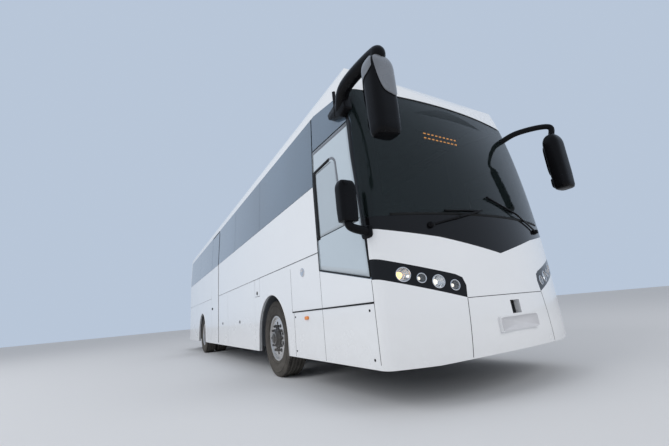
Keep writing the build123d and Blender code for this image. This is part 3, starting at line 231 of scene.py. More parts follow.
def tube(path_points, radius, sides=10, closed=False):
    """Round bar along a path: each ring is the point plus radius times cosine of side and sine of top."""
    p = np.asarray(path_points, float)
    ahead = np.roll(p, -1, 0) - np.roll(p, 1, 0) if closed else np.gradient(p, axis=0)
    ahead /= np.linalg.norm(ahead, axis=1, keepdims=True)
    guide = np.eye(3)[np.argmin(np.abs(ahead).max(axis=0))]
    side = np.cross(ahead, guide)
    side /= np.linalg.norm(side, axis=1, keepdims=True)
    top = np.cross(side, ahead)
    t = np.linspace(0, 2 * np.pi, sides, endpoint=False)
    radii = np.broadcast_to(np.asarray(radius, float), (len(p),))[:, None, None]
    ring = side[:, None] * np.cos(t)[None, :, None] + top[:, None] * np.sin(t)[None, :, None]
    points = p[:, None] + radii * ring
    if not closed:
        points = np.concatenate([p[:1, None].repeat(sides, 1), points, p[-1:, None].repeat(sides, 1)])
    return grid(points, close_u=closed, close_v=True)


def pillow_box(low, high, power=4.0, rows=18, columns=28):
    """Rounded box: a ball whose cosines and sines are flattened, so power 2 is a ball and more is boxier."""
    low, high = np.asarray(low, float), np.asarray(high, float)
    u = np.linspace(-np.pi / 2, np.pi / 2, rows)[:, None]
    v = np.linspace(0, 2 * np.pi, columns, endpoint=False)[None, :]

    def flat(value):
        return np.sign(value) * np.abs(value) ** (2 / power)

    x = flat(np.cos(u)) * flat(np.cos(v))
    y = flat(np.cos(u)) * flat(np.sin(v))
    z = flat(np.sin(u)) * np.ones_like(v)
    points = np.stack([x, y, z], axis=-1) * (high - low) / 2 + (high + low) / 2
    return grid(points, close_v=True)


pillow = pillow_box((0, 0, 0), (1, 1, 1))
print("a pillow has", len(pillow[0]), "points and", len(pillow[1]), "faces")

# %% [markdown]
# ## From points to a piece
# A piece is a mesh object with one finish. Points that fall on each other, as at a pole, are merged, and the
# faces of a closed shape are turned outwards. An open sheet keeps the side that its rows give it, and a
# Solidify modifier gives it a thickness afterwards. Each piece rides on one body of the coach.

# %% Making a piece
weld_distance = 1e-5
vanished_edge = 1e-6


def weld_and_face_out(mesh, recalc):
    """Merge points that coincide, drop faces that vanish and, for a closed shape, turn its faces outwards."""
    bm = bmesh.new()
    bm.from_mesh(mesh)
    bmesh.ops.remove_doubles(bm, verts=bm.verts, dist=weld_distance)
    bmesh.ops.dissolve_degenerate(bm, edges=bm.edges, dist=vanished_edge)
    if recalc:
        bmesh.ops.recalc_face_normals(bm, faces=bm.faces)
    bm.to_mesh(mesh)
    bm.free()
    mesh.update()


def piece(name, shape, material, body, replaced=(), recalc=True):
    """Make one mesh object from (vertices, faces), give it its finish and let it ride on its body."""
    v, f = shape
    mesh = bpy.data.meshes.new(name)
    mesh.from_pydata(v.tolist(), [], f.tolist())
    mesh.validate()
    obj = bpy.data.objects.new(name, mesh)
    scene.collection.objects.link(obj)
    weld_and_face_out(mesh, recalc)
    mesh.polygons.foreach_set("use_smooth", np.full(len(mesh.polygons), True))
    mesh.materials.append(material)
    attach(obj, body)
    if replaced:
        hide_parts(*replaced)
    return obj


def thicken(sheet, thickness, offset=-1.0):
    """Give an open sheet its thickness: at offset -1 it grows inwards, at 0 to both sides."""
    solidify = sheet.modifiers.new("thickness", "SOLIDIFY")
    solidify.thickness = thickness
    solidify.offset = offset


print("points closer than", weld_distance, "m are merged")

# %% [markdown]
# ## Finding the skin of the coach
# Seals, lamps, plates and locks sit on panels that lean and bow. Instead of copying the panels' formulas,
# a ray is cast from outside along one axis and the first panel it meets gives the point.

# %% Rays onto the panels


def ray_tree(*names):
    """Search tree over some of the solid pieces."""
    vertices, faces, count = [], [], 0
    for name in names:
        mesh = nodes[name].data
        co = np.empty(len(mesh.vertices) * 3)
        mesh.vertices.foreach_get("co", co)
        vertices.append(co.reshape(-1, 3))
        faces += [[i + count for i in p.vertices] for p in mesh.polygons]
        count += len(mesh.vertices)
    return BVHTree.FromPolygons(np.concatenate(vertices).tolist(), faces)


nose_tree = ray_tree("front_bumper", "front_panel", "screen_panel", "windscreen", "lamp_bands",
                     "front_lamps", "roof")
tail_tree = ray_tree("rear_wall", "rear_window", "rear_lamps", "engine_lid", "roof")
roof_tree = ray_tree("roof")
side_trees = {
    -1: ray_tree("side_wall_offside", "side_glazing_offside", "emergency_door", "emergency_door_glass",
                 "luggage_door_offside_front", "luggage_door_offside_rear", "filler_flap", "front_bumper",
                 "roof"),
    1: ray_tree("side_wall_nearside", "side_glazing_nearside", "passenger_door",
                "luggage_door_nearside_front", "luggage_door_nearside_rear", "front_bumper", "roof"),
}
ray_start = 9.0


def cast_all(tree, axis, facing, a, b, proud=0.0):
    """Points where rays along one axis first meet a tree, moved out by proud.

    A ray that slips through a gap takes the middle depth of the others.
    """
    a, b = np.broadcast_arrays(np.asarray(a, float), np.asarray(b, float))
    ray = np.zeros(3)
    ray[axis] = -facing
    out = np.empty(a.shape + (3,))
    for i in np.ndindex(a.shape):
        start = np.insert([a[i], b[i]], axis, ray_start * facing)
        hit = tree.ray_cast(Vector(start), Vector(ray))[0]
        out[i] = start
        out[i][axis] = hit[axis] if hit else np.nan
    missed = np.isnan(out[..., axis])
    if missed.any():
        out[missed, axis] = np.nanmedian(out[..., axis])
    out[..., axis] += facing * proud
    return out


def on_nose(y, z):
    """Points on the nose for arrays of y and z."""
    return cast_all(nose_tree, 0, 1, y, z)


def on_tail(y, z):
    """Points on the tail for arrays of y and z."""
    return cast_all(tail_tree, 0, -1, y, z)


def on_roof(x, y):
    """Points on the roof for arrays of x and y."""
    return cast_all(roof_tree, 2, 1, x, y)


def on_side(x, z, side, proud=0.0):
    """Points on one side of the coach for arrays of x and z, moved outwards by proud."""
    return cast_all(side_trees[side], 1, side, x, z, proud)


print("nose at the middle, 1 m up:", np.round(on_nose(0.0, 1.0), 3))

# %% [markdown]
# ## Lines across a panel
# A seal or a seam is drawn as a few corners in the plane of the panel. The straight runs between them are
# filled with points a few centimetres apart, so that the line can bend with the panel once it is cast on it.

# %% Lines through corners


def along(corners, step=0.06, closed=False):
    """Points along the straight runs between corners: a + (b - a) times even shares from 0 to 1."""
    corners = [np.asarray(c, float) for c in corners]
    if closed:
        corners = corners + corners[:1]
    runs = []
    for a, b in zip(corners, corners[1:]):
        n = max(2, int(np.linalg.norm(b - a) / step) + 1)
        runs.append(a + (b - a) * np.linspace(0, 1, n, endpoint=False)[:, None])
    if not closed:
        runs.append(corners[-1][None])
    return np.concatenate(runs)


def round_loop(x0, x1, z0, z1, radius):
    """Closed loop round a rectangle: each corner is its centre plus radius times cosine and sine."""
    t = np.linspace(0, np.pi / 2, 6)
    points = []
    for cx, cz, start in ((x1, z1, 0), (x0, z1, 1), (x0, z0, 2), (x1, z0, 3)):
        sx, sz = (1 if cx == x1 else -1), (1 if cz == z1 else -1)
        angle = t + start * np.pi / 2
        points.append(np.stack([cx - sx * radius + radius * np.cos(angle),
                                cz - sz * radius + radius * np.sin(angle)], axis=-1))
    return along(np.concatenate(points), 0.05, closed=True)


print("points round a square metre:", len(round_loop(0, 1, 0, 1, 0.1)))

# %% [markdown]
# ## Finishes that several materials share
# Three small node groups hold what many finishes have in common: slow patches of tone, road dust that
# settles low on the body, and the faint ripple of sprayed paint. Each material places them with its own
# values, and its Principled shader stays in the material itself. First come a few short helpers, because
# a node tree that is written out node by node is long to read.

# %% Nodes in few words


def new_group(name, inputs, outputs):
    """Empty shader group with named sockets; returns the group and its input and output nodes."""
    group = bpy.data.node_groups.new(name, "ShaderNodeTree")
    for socket, kind, default in inputs:
        made = group.interface.new_socket(socket, in_out="INPUT", socket_type=kind)
        made.default_value = default
    for socket, kind in outputs:
        group.interface.new_socket(socket, in_out="OUTPUT", socket_type=kind)
    return group, group.nodes.new("NodeGroupInput"), group.nodes.new("NodeGroupOutput")


def add(tree, kind, **values):
    """Add a node and set its plain properties or its inputs by name."""
    node = tree.nodes.new(kind)
    for key, value in values.items():
        if hasattr(node, key):
            setattr(node, key, value)
        else:
            node.inputs[key].default_value = value
    return node


def math_node(tree, operation, a, b=None):
    """Math node on sockets or numbers; returns its output."""
    node = tree.nodes.new("ShaderNodeMath")
    node.operation = operation
    for i, value in enumerate((a, b)):
        if value is None:
            continue
        if isinstance(value, (int, float)):
            node.inputs[i].default_value = value
        else:
            tree.links.new(value, node.inputs[i])
    return node.outputs[0]


def mix_colour(tree, factor, a, b):
    """Blend two colours or colour sockets by a factor socket; returns the colour output."""
    node = tree.nodes.new("ShaderNodeMix")
    node.data_type = "RGBA"
    named = {"Factor_Float": factor, "A_Color": a, "B_Color": b}
    for socket in node.inputs:
        if socket.identifier in named:
            value = named[socket.identifier]
            if isinstance(value, (int, float)):
                socket.default_value = value
            elif isinstance(value, tuple):
                socket.default_value = (*value, 1)
            else:
                tree.links.new(value, socket)
    return [s for s in node.outputs if s.identifier == "Result_Color"][0]


def object_axes(tree):
    """X, Y and Z sockets of the place in the piece."""
    where = add(tree, "ShaderNodeTexCoord")
    split = add(tree, "ShaderNodeSeparateXYZ")
    tree.links.new(where.outputs["Object"], split.inputs[0])
    return split.outputs["X"], split.outputs["Y"], split.outputs["Z"]


def object_noise(tree, **values):
    """Noise texture on the place in the piece; returns its node."""
    where = add(tree, "ShaderNodeTexCoord")
    noise = add(tree, "ShaderNodeTexNoise", **values)
    tree.links.new(where.outputs["Object"], noise.inputs["Vector"])
    return noise


FLOAT, COLOUR = "NodeSocketFloat", "NodeSocketColor"
print("sockets", FLOAT, COLOUR)

# %% [markdown]
# ## Tone patches
# No painted or moulded surface has exactly one tone. A slow noise, stretched a little round its middle
# value, blends the colour with a slightly darker one, and the same mask makes the patch a little duller.

# %% Tone patches
patches, g_in, g_out = new_group(
    "tone_patches",
    [("Scale", FLOAT, 3.0), ("Colour", COLOUR, (1, 1, 1, 1)), ("Darker", COLOUR, (0.8, 0.8, 0.8, 1))],
    [("Colour", COLOUR), ("Mask", FLOAT)])
patch_noise = object_noise(patches, Detail=4.0)
patches.links.new(g_in.outputs["Scale"], patch_noise.inputs["Scale"])
stretch = add(patches, "ShaderNodeMapRange")
stretch.inputs["From Min"].default_value = 0.35
stretch.inputs["From Max"].default_value = 0.65
patches.links.new(patch_noise.outputs["Fac"], stretch.inputs["Value"])
toned = mix_colour(patches, stretch.outputs[0], g_in.outputs["Colour"], g_in.outputs["Darker"])
patches.links.new(toned, g_out.inputs["Colour"])
patches.links.new(stretch.outputs[0], g_out.inputs["Mask"])
print(patches.name, "nodes", len(patches.nodes))

# %% [markdown]
# ## Road dust
# Spray from the road leaves most dust low down and none above a certain height. The mask is 1 less the
# height over that top, times a flecked noise, times the amount that each material asks for.

# %% Road dust
dust_gain = 2.0
dust, g_in, g_out = new_group(
    "road_dust",
    [("Colour", COLOUR, (1, 1, 1, 1)), ("Dust", COLOUR, (0.35, 0.32, 0.28, 1)), ("Top", FLOAT, 1.0),
     ("Amount", FLOAT, 0.3)],
    [("Colour", COLOUR), ("Mask", FLOAT)])
height = object_axes(dust)[2]
low = math_node(dust, "SUBTRACT", 1.0, math_node(dust, "DIVIDE", height, g_in.outputs["Top"]))
low = math_node(dust, "MAXIMUM", low, 0.0)
fleck = object_noise(dust, Scale=9.0, Detail=6.0, Roughness=0.7)
flecked = math_node(dust, "MULTIPLY", low, fleck.outputs["Fac"])
mask = math_node(dust, "MULTIPLY", flecked, g_in.outputs["Amount"])
mask = math_node(dust, "MINIMUM", math_node(dust, "MULTIPLY", mask, dust_gain), 1.0)
dusted = mix_colour(dust, mask, g_in.outputs["Colour"], g_in.outputs["Dust"])
dust.links.new(dusted, g_out.inputs["Colour"])
dust.links.new(mask, g_out.inputs["Mask"])
print(dust.name, "nodes", len(dust.nodes))

# %% [markdown]
# ## Fine relief
# Sprayed paint, cast iron and rubber differ mostly in their grain. The group gives a height, a fine noise
# times a depth, and each material feeds that height into a Bump node of its own.

# %% Fine relief
ripple, g_in, g_out = new_group("fine_relief", [("Scale", FLOAT, 200.0), ("Depth", FLOAT, 0.0002)],
                                [("Height", FLOAT)])
grain = object_noise(ripple, Detail=2.0)
ripple.links.new(g_in.outputs["Scale"], grain.inputs["Scale"])
grain_height = math_node(ripple, "MULTIPLY", grain.outputs["Fac"], g_in.outputs["Depth"])
ripple.links.new(grain_height, g_out.inputs["Height"])
print(ripple.name, "nodes", len(ripple.nodes))

# %% [markdown]
# ## One finish
# All opaque finishes are made by one function: a colour with its tone patches, dust where it is asked for,
# a roughness that follows both masks, and the relief. Its other values go straight into the shader.

# %% One finish
coat_roughness = 0.06
patch_dulls = 0.06
dust_dulls = 0.5


def group_node(tree, group, **values):
    """Place a shared group and set its inputs."""
    node = tree.nodes.new("ShaderNodeGroup")
    node.node_tree = group
    for key, value in values.items():
        node.inputs[key].default_value = (*value, 1) if isinstance(value, tuple) else value
    return node


def finish(name, colour, rough, metal=0.0, coat=0.0, patch=0.92, patch_scale=2.0, dust_top=0.0,
           dust_amount=0.3, relief=(0.0, 0.0), spec=0.5):
    """Material with tone patches, road dust below dust_top and a fine relief; returns it.

    Its roughness is rough, plus a share of the patch mask, plus a share of the dust mask.
    """
    material = bpy.data.materials.new(name)
    material.use_nodes = True
    tree = material.node_tree
    shader = tree.nodes["Principled BSDF"]
    shader.inputs["Metallic"].default_value = metal
    shader.inputs["Coat Weight"].default_value = coat
    shader.inputs["Coat Roughness"].default_value = coat_roughness
    shader.inputs["Specular IOR Level"].default_value = spec
    darker = tuple(c * patch for c in colour)
    tones = group_node(tree, patches, Scale=patch_scale, Colour=colour, Darker=darker)
    out = tones.outputs["Colour"]
    rough_out = math_node(tree, "MULTIPLY", tones.outputs["Mask"], patch_dulls)
    rough_out = math_node(tree, "ADD", rough_out, rough)
    if dust_top > 0:
        dusty = group_node(tree, dust, Top=dust_top, Amount=dust_amount)
        tree.links.new(out, dusty.inputs["Colour"])
        out = dusty.outputs["Colour"]
        duller = math_node(tree, "MULTIPLY", dusty.outputs["Mask"], dust_dulls)
        rough_out = math_node(tree, "ADD", rough_out, duller)
    tree.links.new(out, shader.inputs["Base Color"])
    tree.links.new(rough_out, shader.inputs["Roughness"])
    if relief[1] > 0:
        fine = group_node(tree, ripple, Scale=relief[0], Depth=relief[1])
        bump = add(tree, "ShaderNodeBump")
        bump.inputs["Distance"].default_value = 1.0
        tree.links.new(fine.outputs["Height"], bump.inputs["Height"])
        tree.links.new(bump.outputs["Normal"], shader.inputs["Normal"])
    return material


def base_colour_source(material):
    """Socket that feeds a material's base colour."""
    shader = material.node_tree.nodes["Principled BSDF"]
    return shader.inputs["Base Color"].links[0].from_socket


print("a finish uses up to", len((patches, dust, ripple)), "groups")

# %% [markdown]
# ## White paint with black and lining zones
# One side panel carries three finishes on the real coach: white paint outside, black behind the bonded
# glass and a grey lining inside. The zones are worked out from the height and depth of a point in the
# panel, so one solid piece shows all three with sharp borders.

# %% Where the paint changes
belt_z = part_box("emergency_door_glass")[0].z
cant_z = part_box("side_wall_offside")[1].z
cab_rear_x = station(1.62)
cab_rear_foot_z = 1.229
seam_x = station(2.55)
seam_foot_z = 1.029
half_width = 1.275
side_lean = 0.042            # how far the side leans in over the height that follows
side_lean_height = 0.905
skin_depth = 0.035           # deeper than this a point of a wall is lining
border_overlap = 0.004       # how far the black reaches past the edge of a pane
print("belt", round(belt_z, 3), "cant", round(cant_z, 3))

# %% White paint with its zones
white = (0.80, 0.815, 0.835)
nose_white = (0.79, 0.80, 0.815)
lining = (0.17, 0.175, 0.185)
near_black = (0.012, 0.012, 0.014)
paint_grain = (260.0, 0.00002)
paint_coat = 0.6
zone_dulls = 0.45


def above_line(tree, x, z, foot, head):
    """1 where z is above the line from foot to head: above foot's z plus slope times x less foot's x."""
    slope = (head[1] - foot[1]) / (head[0] - foot[0])
    ahead_of_foot = math_node(tree, "SUBTRACT", x, foot[0])
    line = math_node(tree, "ADD", math_node(tree, "MULTIPLY", ahead_of_foot, slope), foot[1])
    return math_node(tree, "GREATER_THAN", z, line)


def behind_glass(tree, x, z, cab_side):
    """1 in the band of the side glass and, on the walls, in the taller cab glazing too."""
    above_belt = math_node(tree, "GREATER_THAN", z, belt_z - border_overlap)
    below_cant = math_node(tree, "LESS_THAN", z, cant_z + 0.02)
    band = math_node(tree, "MULTIPLY", above_belt, below_cant)
    if not cab_side:
        return band
    ahead = math_node(tree, "GREATER_THAN", x, cab_rear_x - 0.001)
    above_foot = above_line(tree, x, z, (cab_rear_x, cab_rear_foot_z), (seam_x, seam_foot_z))
    return math_node(tree, "MAXIMUM", band, math_node(tree, "MULTIPLY", ahead, above_foot))


def deep_in_wall(tree, y, z):
    """1 where the distance from the middle, with the side's lean added back, is short of the skin."""
    above_belt = math_node(tree, "MAXIMUM", math_node(tree, "SUBTRACT", z, belt_z), 0.0)
    lean = math_node(tree, "MULTIPLY", above_belt, side_lean / side_lean_height)
    reach = math_node(tree, "ADD", math_node(tree, "ABSOLUTE", y), lean)
    return math_node(tree, "LESS_THAN", reach, half_width - skin_depth)


def zone_paint(name, cab_side):
    """White paint that turns black behind the side glass and to a grey lining inside the wall."""
    material = finish(name, white, 0.20, coat=paint_coat, patch=0.985, patch_scale=0.8, dust_top=1.0,
                      dust_amount=0.16, relief=paint_grain)
    tree = material.node_tree
    x, y, z = object_axes(tree)
    band = behind_glass(tree, x, z, cab_side)
    inside = deep_in_wall(tree, y, z)
    shader = tree.nodes["Principled BSDF"]
    colour = mix_colour(tree, band, base_colour_source(material), near_black)
    colour = mix_colour(tree, inside, colour, lining)
    tree.links.new(colour, shader.inputs["Base Color"])
    dull = math_node(tree, "MAXIMUM", band, inside)
    rough = shader.inputs["Roughness"].links[0].from_socket
    duller = math_node(tree, "ADD", rough, math_node(tree, "MULTIPLY", dull, zone_dulls))
    tree.links.new(duller, shader.inputs["Roughness"])
    gloss = math_node(tree, "MULTIPLY", math_node(tree, "SUBTRACT", 1.0, dull), paint_coat)
    tree.links.new(gloss, shader.inputs["Coat Weight"])
    return material


side_paint = zone_paint("white_side_paint", True)
door_paint = zone_paint("white_door_paint", False)
front_paint = finish("white_front_paint", nose_white, 0.20, coat=paint_coat, patch=0.985, patch_scale=0.8,
                     dust_top=0.8, dust_amount=0.14, relief=paint_grain)
print("paints", side_paint.name, door_paint.name, front_paint.name)

# %% [markdown]
# ## The roof, white above and lined below
# The roof is one solid too. Its lower faces, which look down into the cabin, are told from the upper ones by
# the direction they face: where the normal's Z is well below zero, the lining takes the paint's place.

# %% Roof paint
facing_down = -0.25
roof_paint = finish("white_roof_paint", white, 0.24, coat=0.5, patch=0.97, patch_scale=0.7,
                    relief=paint_grain)
tree = roof_paint.node_tree
facing = add(tree, "ShaderNodeNewGeometry")
upward = add(tree, "ShaderNodeSeparateXYZ")
tree.links.new(facing.outputs["Normal"], upward.inputs[0])
below = math_node(tree, "LESS_THAN", upward.outputs["Z"], facing_down)
tree.links.new(mix_colour(tree, below, base_colour_source(roof_paint), lining),
               tree.nodes["Principled BSDF"].inputs["Base Color"])
print("roof paint nodes", len(tree.nodes))

# %% [markdown]
# ## Black parts, rubber and metal
# The other finishes differ in their values only. Glossy black is what is printed behind the bonded glass,
# trim black is moulded plastic, and rubber is dull. The wheels are polished alloy under road dust, and the
# parts beneath the floor carry the most of it. The side markers get amber lenses, the tail red ones.

# %% Black parts and rubber
black_gloss = finish("black_gloss", (0.007, 0.007, 0.008), 0.08, coat=0.12, patch=0.9,
                     relief=(120.0, 0.00001), spec=0.20)
black_trim = finish("black_trim", (0.006, 0.006, 0.007), 0.24, patch=0.8, relief=(900.0, 0.00004), spec=0.10)
rubber_seal = finish("rubber_seal", (0.009, 0.009, 0.009), 0.62, patch=0.8, relief=(700.0, 0.00008),
                     spec=0.25)
rubber_tyre = finish("rubber_tyre", (0.030, 0.028, 0.026), 0.78, patch=0.75, patch_scale=5.0, dust_top=1.4,
                     dust_amount=0.22, relief=(500.0, 0.0003), spec=0.22)
rubber_bellow = finish("rubber_bellow", (0.018, 0.018, 0.018), 0.7, patch=0.8, dust_top=1.0,
                       relief=(400.0, 0.0002))
print("tyre rubber", rubber_tyre.name)

# %% Metal, plastic and lenses
alloy = finish("wheel_alloy", (0.74, 0.72, 0.70), 0.30, metal=0.85, patch=0.86, patch_scale=8.0, dust_top=0.7,
               dust_amount=0.35, relief=(600.0, 0.00006))
hub_black = finish("hub_black", (0.022, 0.022, 0.024), 0.42, patch=0.7, patch_scale=9.0, dust_top=0.8,
                   dust_amount=0.4, relief=(300.0, 0.0002))
axle_black = finish("axle_black", (0.030, 0.030, 0.032), 0.5, patch=0.7, patch_scale=6.0, dust_top=1.2,
                    dust_amount=0.7, relief=(250.0, 0.0004))
frame_grey = finish("frame_grey", (0.09, 0.095, 0.10), 0.5, patch=0.8, patch_scale=4.0, dust_top=1.4,
                    dust_amount=0.7, relief=(250.0, 0.0003))
engine_cast = finish("engine_cast", (0.11, 0.115, 0.12), 0.6, patch=0.6, patch_scale=7.0, dust_top=1.4,
                     dust_amount=0.6, relief=(180.0, 0.0008))
floor_vinyl = finish("floor_vinyl", (0.13, 0.14, 0.155), 0.55, patch=0.75, patch_scale=60.0,
                     relief=(500.0, 0.0002))
fascia = finish("fascia_plastic", (0.045, 0.045, 0.048), 0.55, patch=0.85, patch_scale=12.0,
                relief=(700.0, 0.0003))
rack_grey = finish("rack_grey", (0.15, 0.155, 0.16), 0.6, patch=0.9, patch_scale=4.0, relief=(120.0, 0.00003))
chrome = finish("bright_chrome", (0.80, 0.80, 0.81), 0.08, metal=1.0, patch=0.95, patch_scale=20.0)
mirror_face = finish("mirror_face", (0.86, 0.87, 0.88), 0.02, metal=1.0, patch=0.99, patch_scale=4.0)
# the same grey also paints a sky reflection on the side of the offside mirror head
grey_trim_and_painted_reflection = finish("grey_trim_and_painted_reflection", (0.150, 0.158, 0.175), 0.24, coat=0.5, patch=0.9, patch_scale=6.0)
plate_white = finish("plate_white", (0.62, 0.62, 0.64), 0.35, patch=0.97, patch_scale=12.0)
amber = finish("amber_lens", (0.85, 0.25, 0.02), 0.12, coat=0.5, patch=0.85, patch_scale=60.0)
red_lens = finish("red_lens", (0.42, 0.012, 0.012), 0.12, coat=0.5, patch=0.8, patch_scale=50.0)
print("finishes so far", len(bpy.data.materials))

# %% [markdown]
# ## Glass
# Tinted glass on a coach shows little of the inside: most of what is seen on it is the sky. So its Principled
# shader is mostly opaque. The dark screen is mostly its tint, and the blue of the side glass is its tint
# together with a painted reflection of the sky. Slow darker patches across each pane are painted changes in
# that reflection. A clear coat on top adds a real reflection, and the Alpha value lets a share of the inside
# through. The lamp lenses are clear and use real transmission.

# %% Glass finishes


def tinted_glass(name, colour, opaque, ior, patch, coat=1.0):
    """Pane: tint and painted sky reflection in slow patches, some see-through, and a coat for a strong
    reflection.
    """
    material = bpy.data.materials.new(name)
    material.use_nodes = True
    tree = material.node_tree
    shader = tree.nodes["Principled BSDF"]
    shader.inputs["Roughness"].default_value = 0.02
    shader.inputs["IOR"].default_value = ior
    shader.inputs["Coat Weight"].default_value = coat
    shader.inputs["Coat Roughness"].default_value = 0.01
    shader.inputs["Alpha"].default_value = opaque
    # painted reflection: the slow tone patches stand for the sky reflected unevenly in the pane
    tones = group_node(tree, patches, Scale=0.35, Colour=colour, Darker=tuple(c * patch for c in colour))
    tree.links.new(tones.outputs["Colour"], shader.inputs["Base Color"])
    return material


# painted reflection: the side glass's blue is its tint together with painted sky
side_glass = tinted_glass("side_glass", (0.080, 0.130, 0.190), 0.92, 2.15, 0.60)
screen_glass = tinted_glass("screen_glass", (0.012, 0.018, 0.019), 0.66, 1.30, 0.8, 0.35)
# painted reflection: the pale colours of the driver's pane and its panel are the sky reflected in them
cab_glass_painted_sky = tinted_glass("cab_glass_painted_sky", (0.44, 0.50, 0.545), 0.96, 1.6, 0.94)
panel_glass_painted_sky = tinted_glass("panel_glass_painted_sky", (0.50, 0.57, 0.62), 1.0, 1.6, 0.95)
print("panes", side_glass.name, screen_glass.name, cab_glass_painted_sky.name, panel_glass_painted_sky.name)

# %% Clear lamp lens
lamp_glass = bpy.data.materials.new("lamp_glass")
lamp_glass.use_nodes = True
lamp_shader = lamp_glass.node_tree.nodes["Principled BSDF"]
lamp_shader.inputs["Roughness"].default_value = 0.02
lamp_shader.inputs["Transmission Weight"].default_value = 0.96
lamp_tones = group_node(lamp_glass.node_tree, patches, Scale=9.0, Colour=(0.93, 0.94, 0.94),
                        Darker=(0.90, 0.91, 0.91))
lamp_glass.node_tree.links.new(lamp_tones.outputs["Colour"], lamp_shader.inputs["Base Color"])
print("lens", lamp_glass.name)

# %% [markdown]
# ## Dressing the solid pieces
# Each solid keeps its shape and gets its finish. Pieces whose real surface is too fine for a solid, such
# as tyres, mirror heads and seats, are replaced further on.

# %% Finishes of the solid pieces
node_finish = {
    "side_wall_offside": side_paint, "side_wall_nearside": side_paint, "roof": roof_paint,
    "rear_wall": front_paint, "engine_lid": front_paint, "rear_window": side_glass, "rear_lamps": red_lens,
    "front_bumper": front_paint, "front_panel": front_paint, "screen_panel": black_gloss,
    "windscreen": screen_glass, "screen_frame": black_trim, "lamp_bands": black_gloss,
    "front_lamps": lamp_glass, "side_glazing_offside": side_glass, "side_glazing_nearside": side_glass,
    "passenger_door": door_paint, "emergency_door": door_paint, "emergency_door_glass": side_glass,
    "luggage_door_offside_front": door_paint, "luggage_door_offside_rear": door_paint,
    "luggage_door_nearside_front": door_paint, "luggage_door_nearside_rear": door_paint,
    "filler_flap": door_paint, "floors": floor_vinyl, "chassis_frame": frame_grey,
    "frame_members": frame_grey, "front_axle": axle_black, "rear_axle": axle_black,
    "air_springs": rubber_bellow,
    "powertrain": engine_cast, "dashboard": fascia, "steering_wheel": fascia, "seat_cushions": fascia,
    "seat_frames": fascia, "luggage_racks": rack_grey, "mirrors": black_trim, "wipers": black_trim,
    "knuckle_offside": axle_black, "knuckle_nearside": axle_black,
    "front_tyre_offside": rubber_tyre, "front_tyre_nearside": rubber_tyre,
    "front_wheel_offside": alloy, "front_wheel_nearside": alloy,
    "rear_tyres_offside": rubber_tyre, "rear_tyres_nearside": rubber_tyre,
    "rear_wheel_offside": alloy, "rear_wheel_nearside": alloy,
}
for name, obj in nodes.items():
    obj.data.materials.clear()
    obj.data.materials.append(node_finish.get(name, black_trim))
print("unlisted", sorted(set(nodes) - set(node_finish)))

# %% [markdown]
# ## Tyres
# A coach tyre has four straight grooves round its tread and short cuts across both shoulders. The tread
# is one grid round the wheel: the radius at each point is the casing's radius, less the groove's depth
# where the point lies in a groove, less the cut's depth where it lies in a cut.

# %% Tyre with grooves and shoulder cuts
tyre_radius = axle_z
tyre_half = 0.1475
rim_radius = 0.2925
bead_half = 0.098
groove_places = (-0.075, -0.026, 0.026, 0.075)
groove_half = 0.0055
groove_slope = 0.0015        # how much further each side of a groove is out at its mouth
groove_depth = 0.014
tread_edge = (0.108, 0.114, 0.1195)
level_half = 0.10            # the tread is level up to here and rounds off beyond
edge_drop, edge_power = 0.10, 1.2
tread_clearance = 0.0005
cut_count = 72
cut_depth = 0.007
cut_shares = np.array([0.0, 0.62, 0.66, 0.96])     # a block from the first to the second, then a cut
cut_from = 0.099             # the cuts lie outside this half width and within cut_reach of the tread
cut_reach = 0.020
sidewall = np.array([        # radius and half width from the bead out to the shoulder, with two raised rings
    (0.2930, 0.1000), (0.2990, 0.1110), (0.3100, 0.1205), (0.3220, 0.1275), (0.3300, 0.1312),
    (0.3305, 0.1334), (0.3350, 0.1350), (0.3355, 0.1335), (0.3600, 0.1428), (0.3850, 0.1464),
    (0.4050, 0.1474), (0.4250, 0.1466), (0.4450, 0.1440), (0.4455, 0.1456), (0.4510, 0.1446),
    (0.4515, 0.1428), (0.4700, 0.1386), (0.4850, 0.1340), (0.4970, 0.1290), (0.5060, 0.1245),
    (0.5115, 0.1212),
])


def tyre_surface(centre_x, centre_y):
    """Tyre from bead to bead: the radius times cosine and sine of the turn, at each place of its width.

    The radius is the casing's, less the groove's depth in a groove and less the cut's depth in a cut.
    """
    wall_r, wall_w = sidewall[:, 0], sidewall[:, 1]
    tread_w = [-edge for edge in reversed(tread_edge)]
    for place in groove_places:
        foot_low, foot_high = place - groove_half, place + groove_half
        tread_w += [foot_low - groove_slope, foot_low, foot_high, foot_high + groove_slope]
    tread_w = np.array(tread_w + list(tread_edge))
    round_off = edge_drop * np.maximum(np.abs(tread_w) - level_half, 0) ** edge_power
    tread_r = tyre_radius - tread_clearance - round_off
    to_groove = np.min(np.abs(tread_w[:, None] - np.array(groove_places)), axis=1)
    tread_r -= groove_depth * (to_groove < groove_half + 1e-6)
    w = np.concatenate([-wall_w, tread_w, wall_w[::-1], [bead_half, -bead_half]])
    r = np.concatenate([wall_r, tread_r, wall_r[::-1], [rim_radius, rim_radius]])
    period = 2 * np.pi / cut_count
    angle = (np.arange(cut_count)[:, None] * period + cut_shares * period).ravel()
    in_cut = np.tile(np.array([0, 0, 1, 1]), cut_count).astype(float)
    shoulder = (np.abs(w) > cut_from) & (r > tyre_radius - cut_reach)
    radius = r[None, :] - cut_depth * in_cut[:, None] * shoulder[None, :]
    points = np.stack([radius * np.cos(angle)[:, None] + centre_x,
                       np.broadcast_to(w + centre_y, radius.shape),
                       radius * np.sin(angle)[:, None] + axle_z], axis=-1)
    return grid(points, close_u=True, close_v=True)


print("cut points round one tyre", cut_count * len(cut_shares))

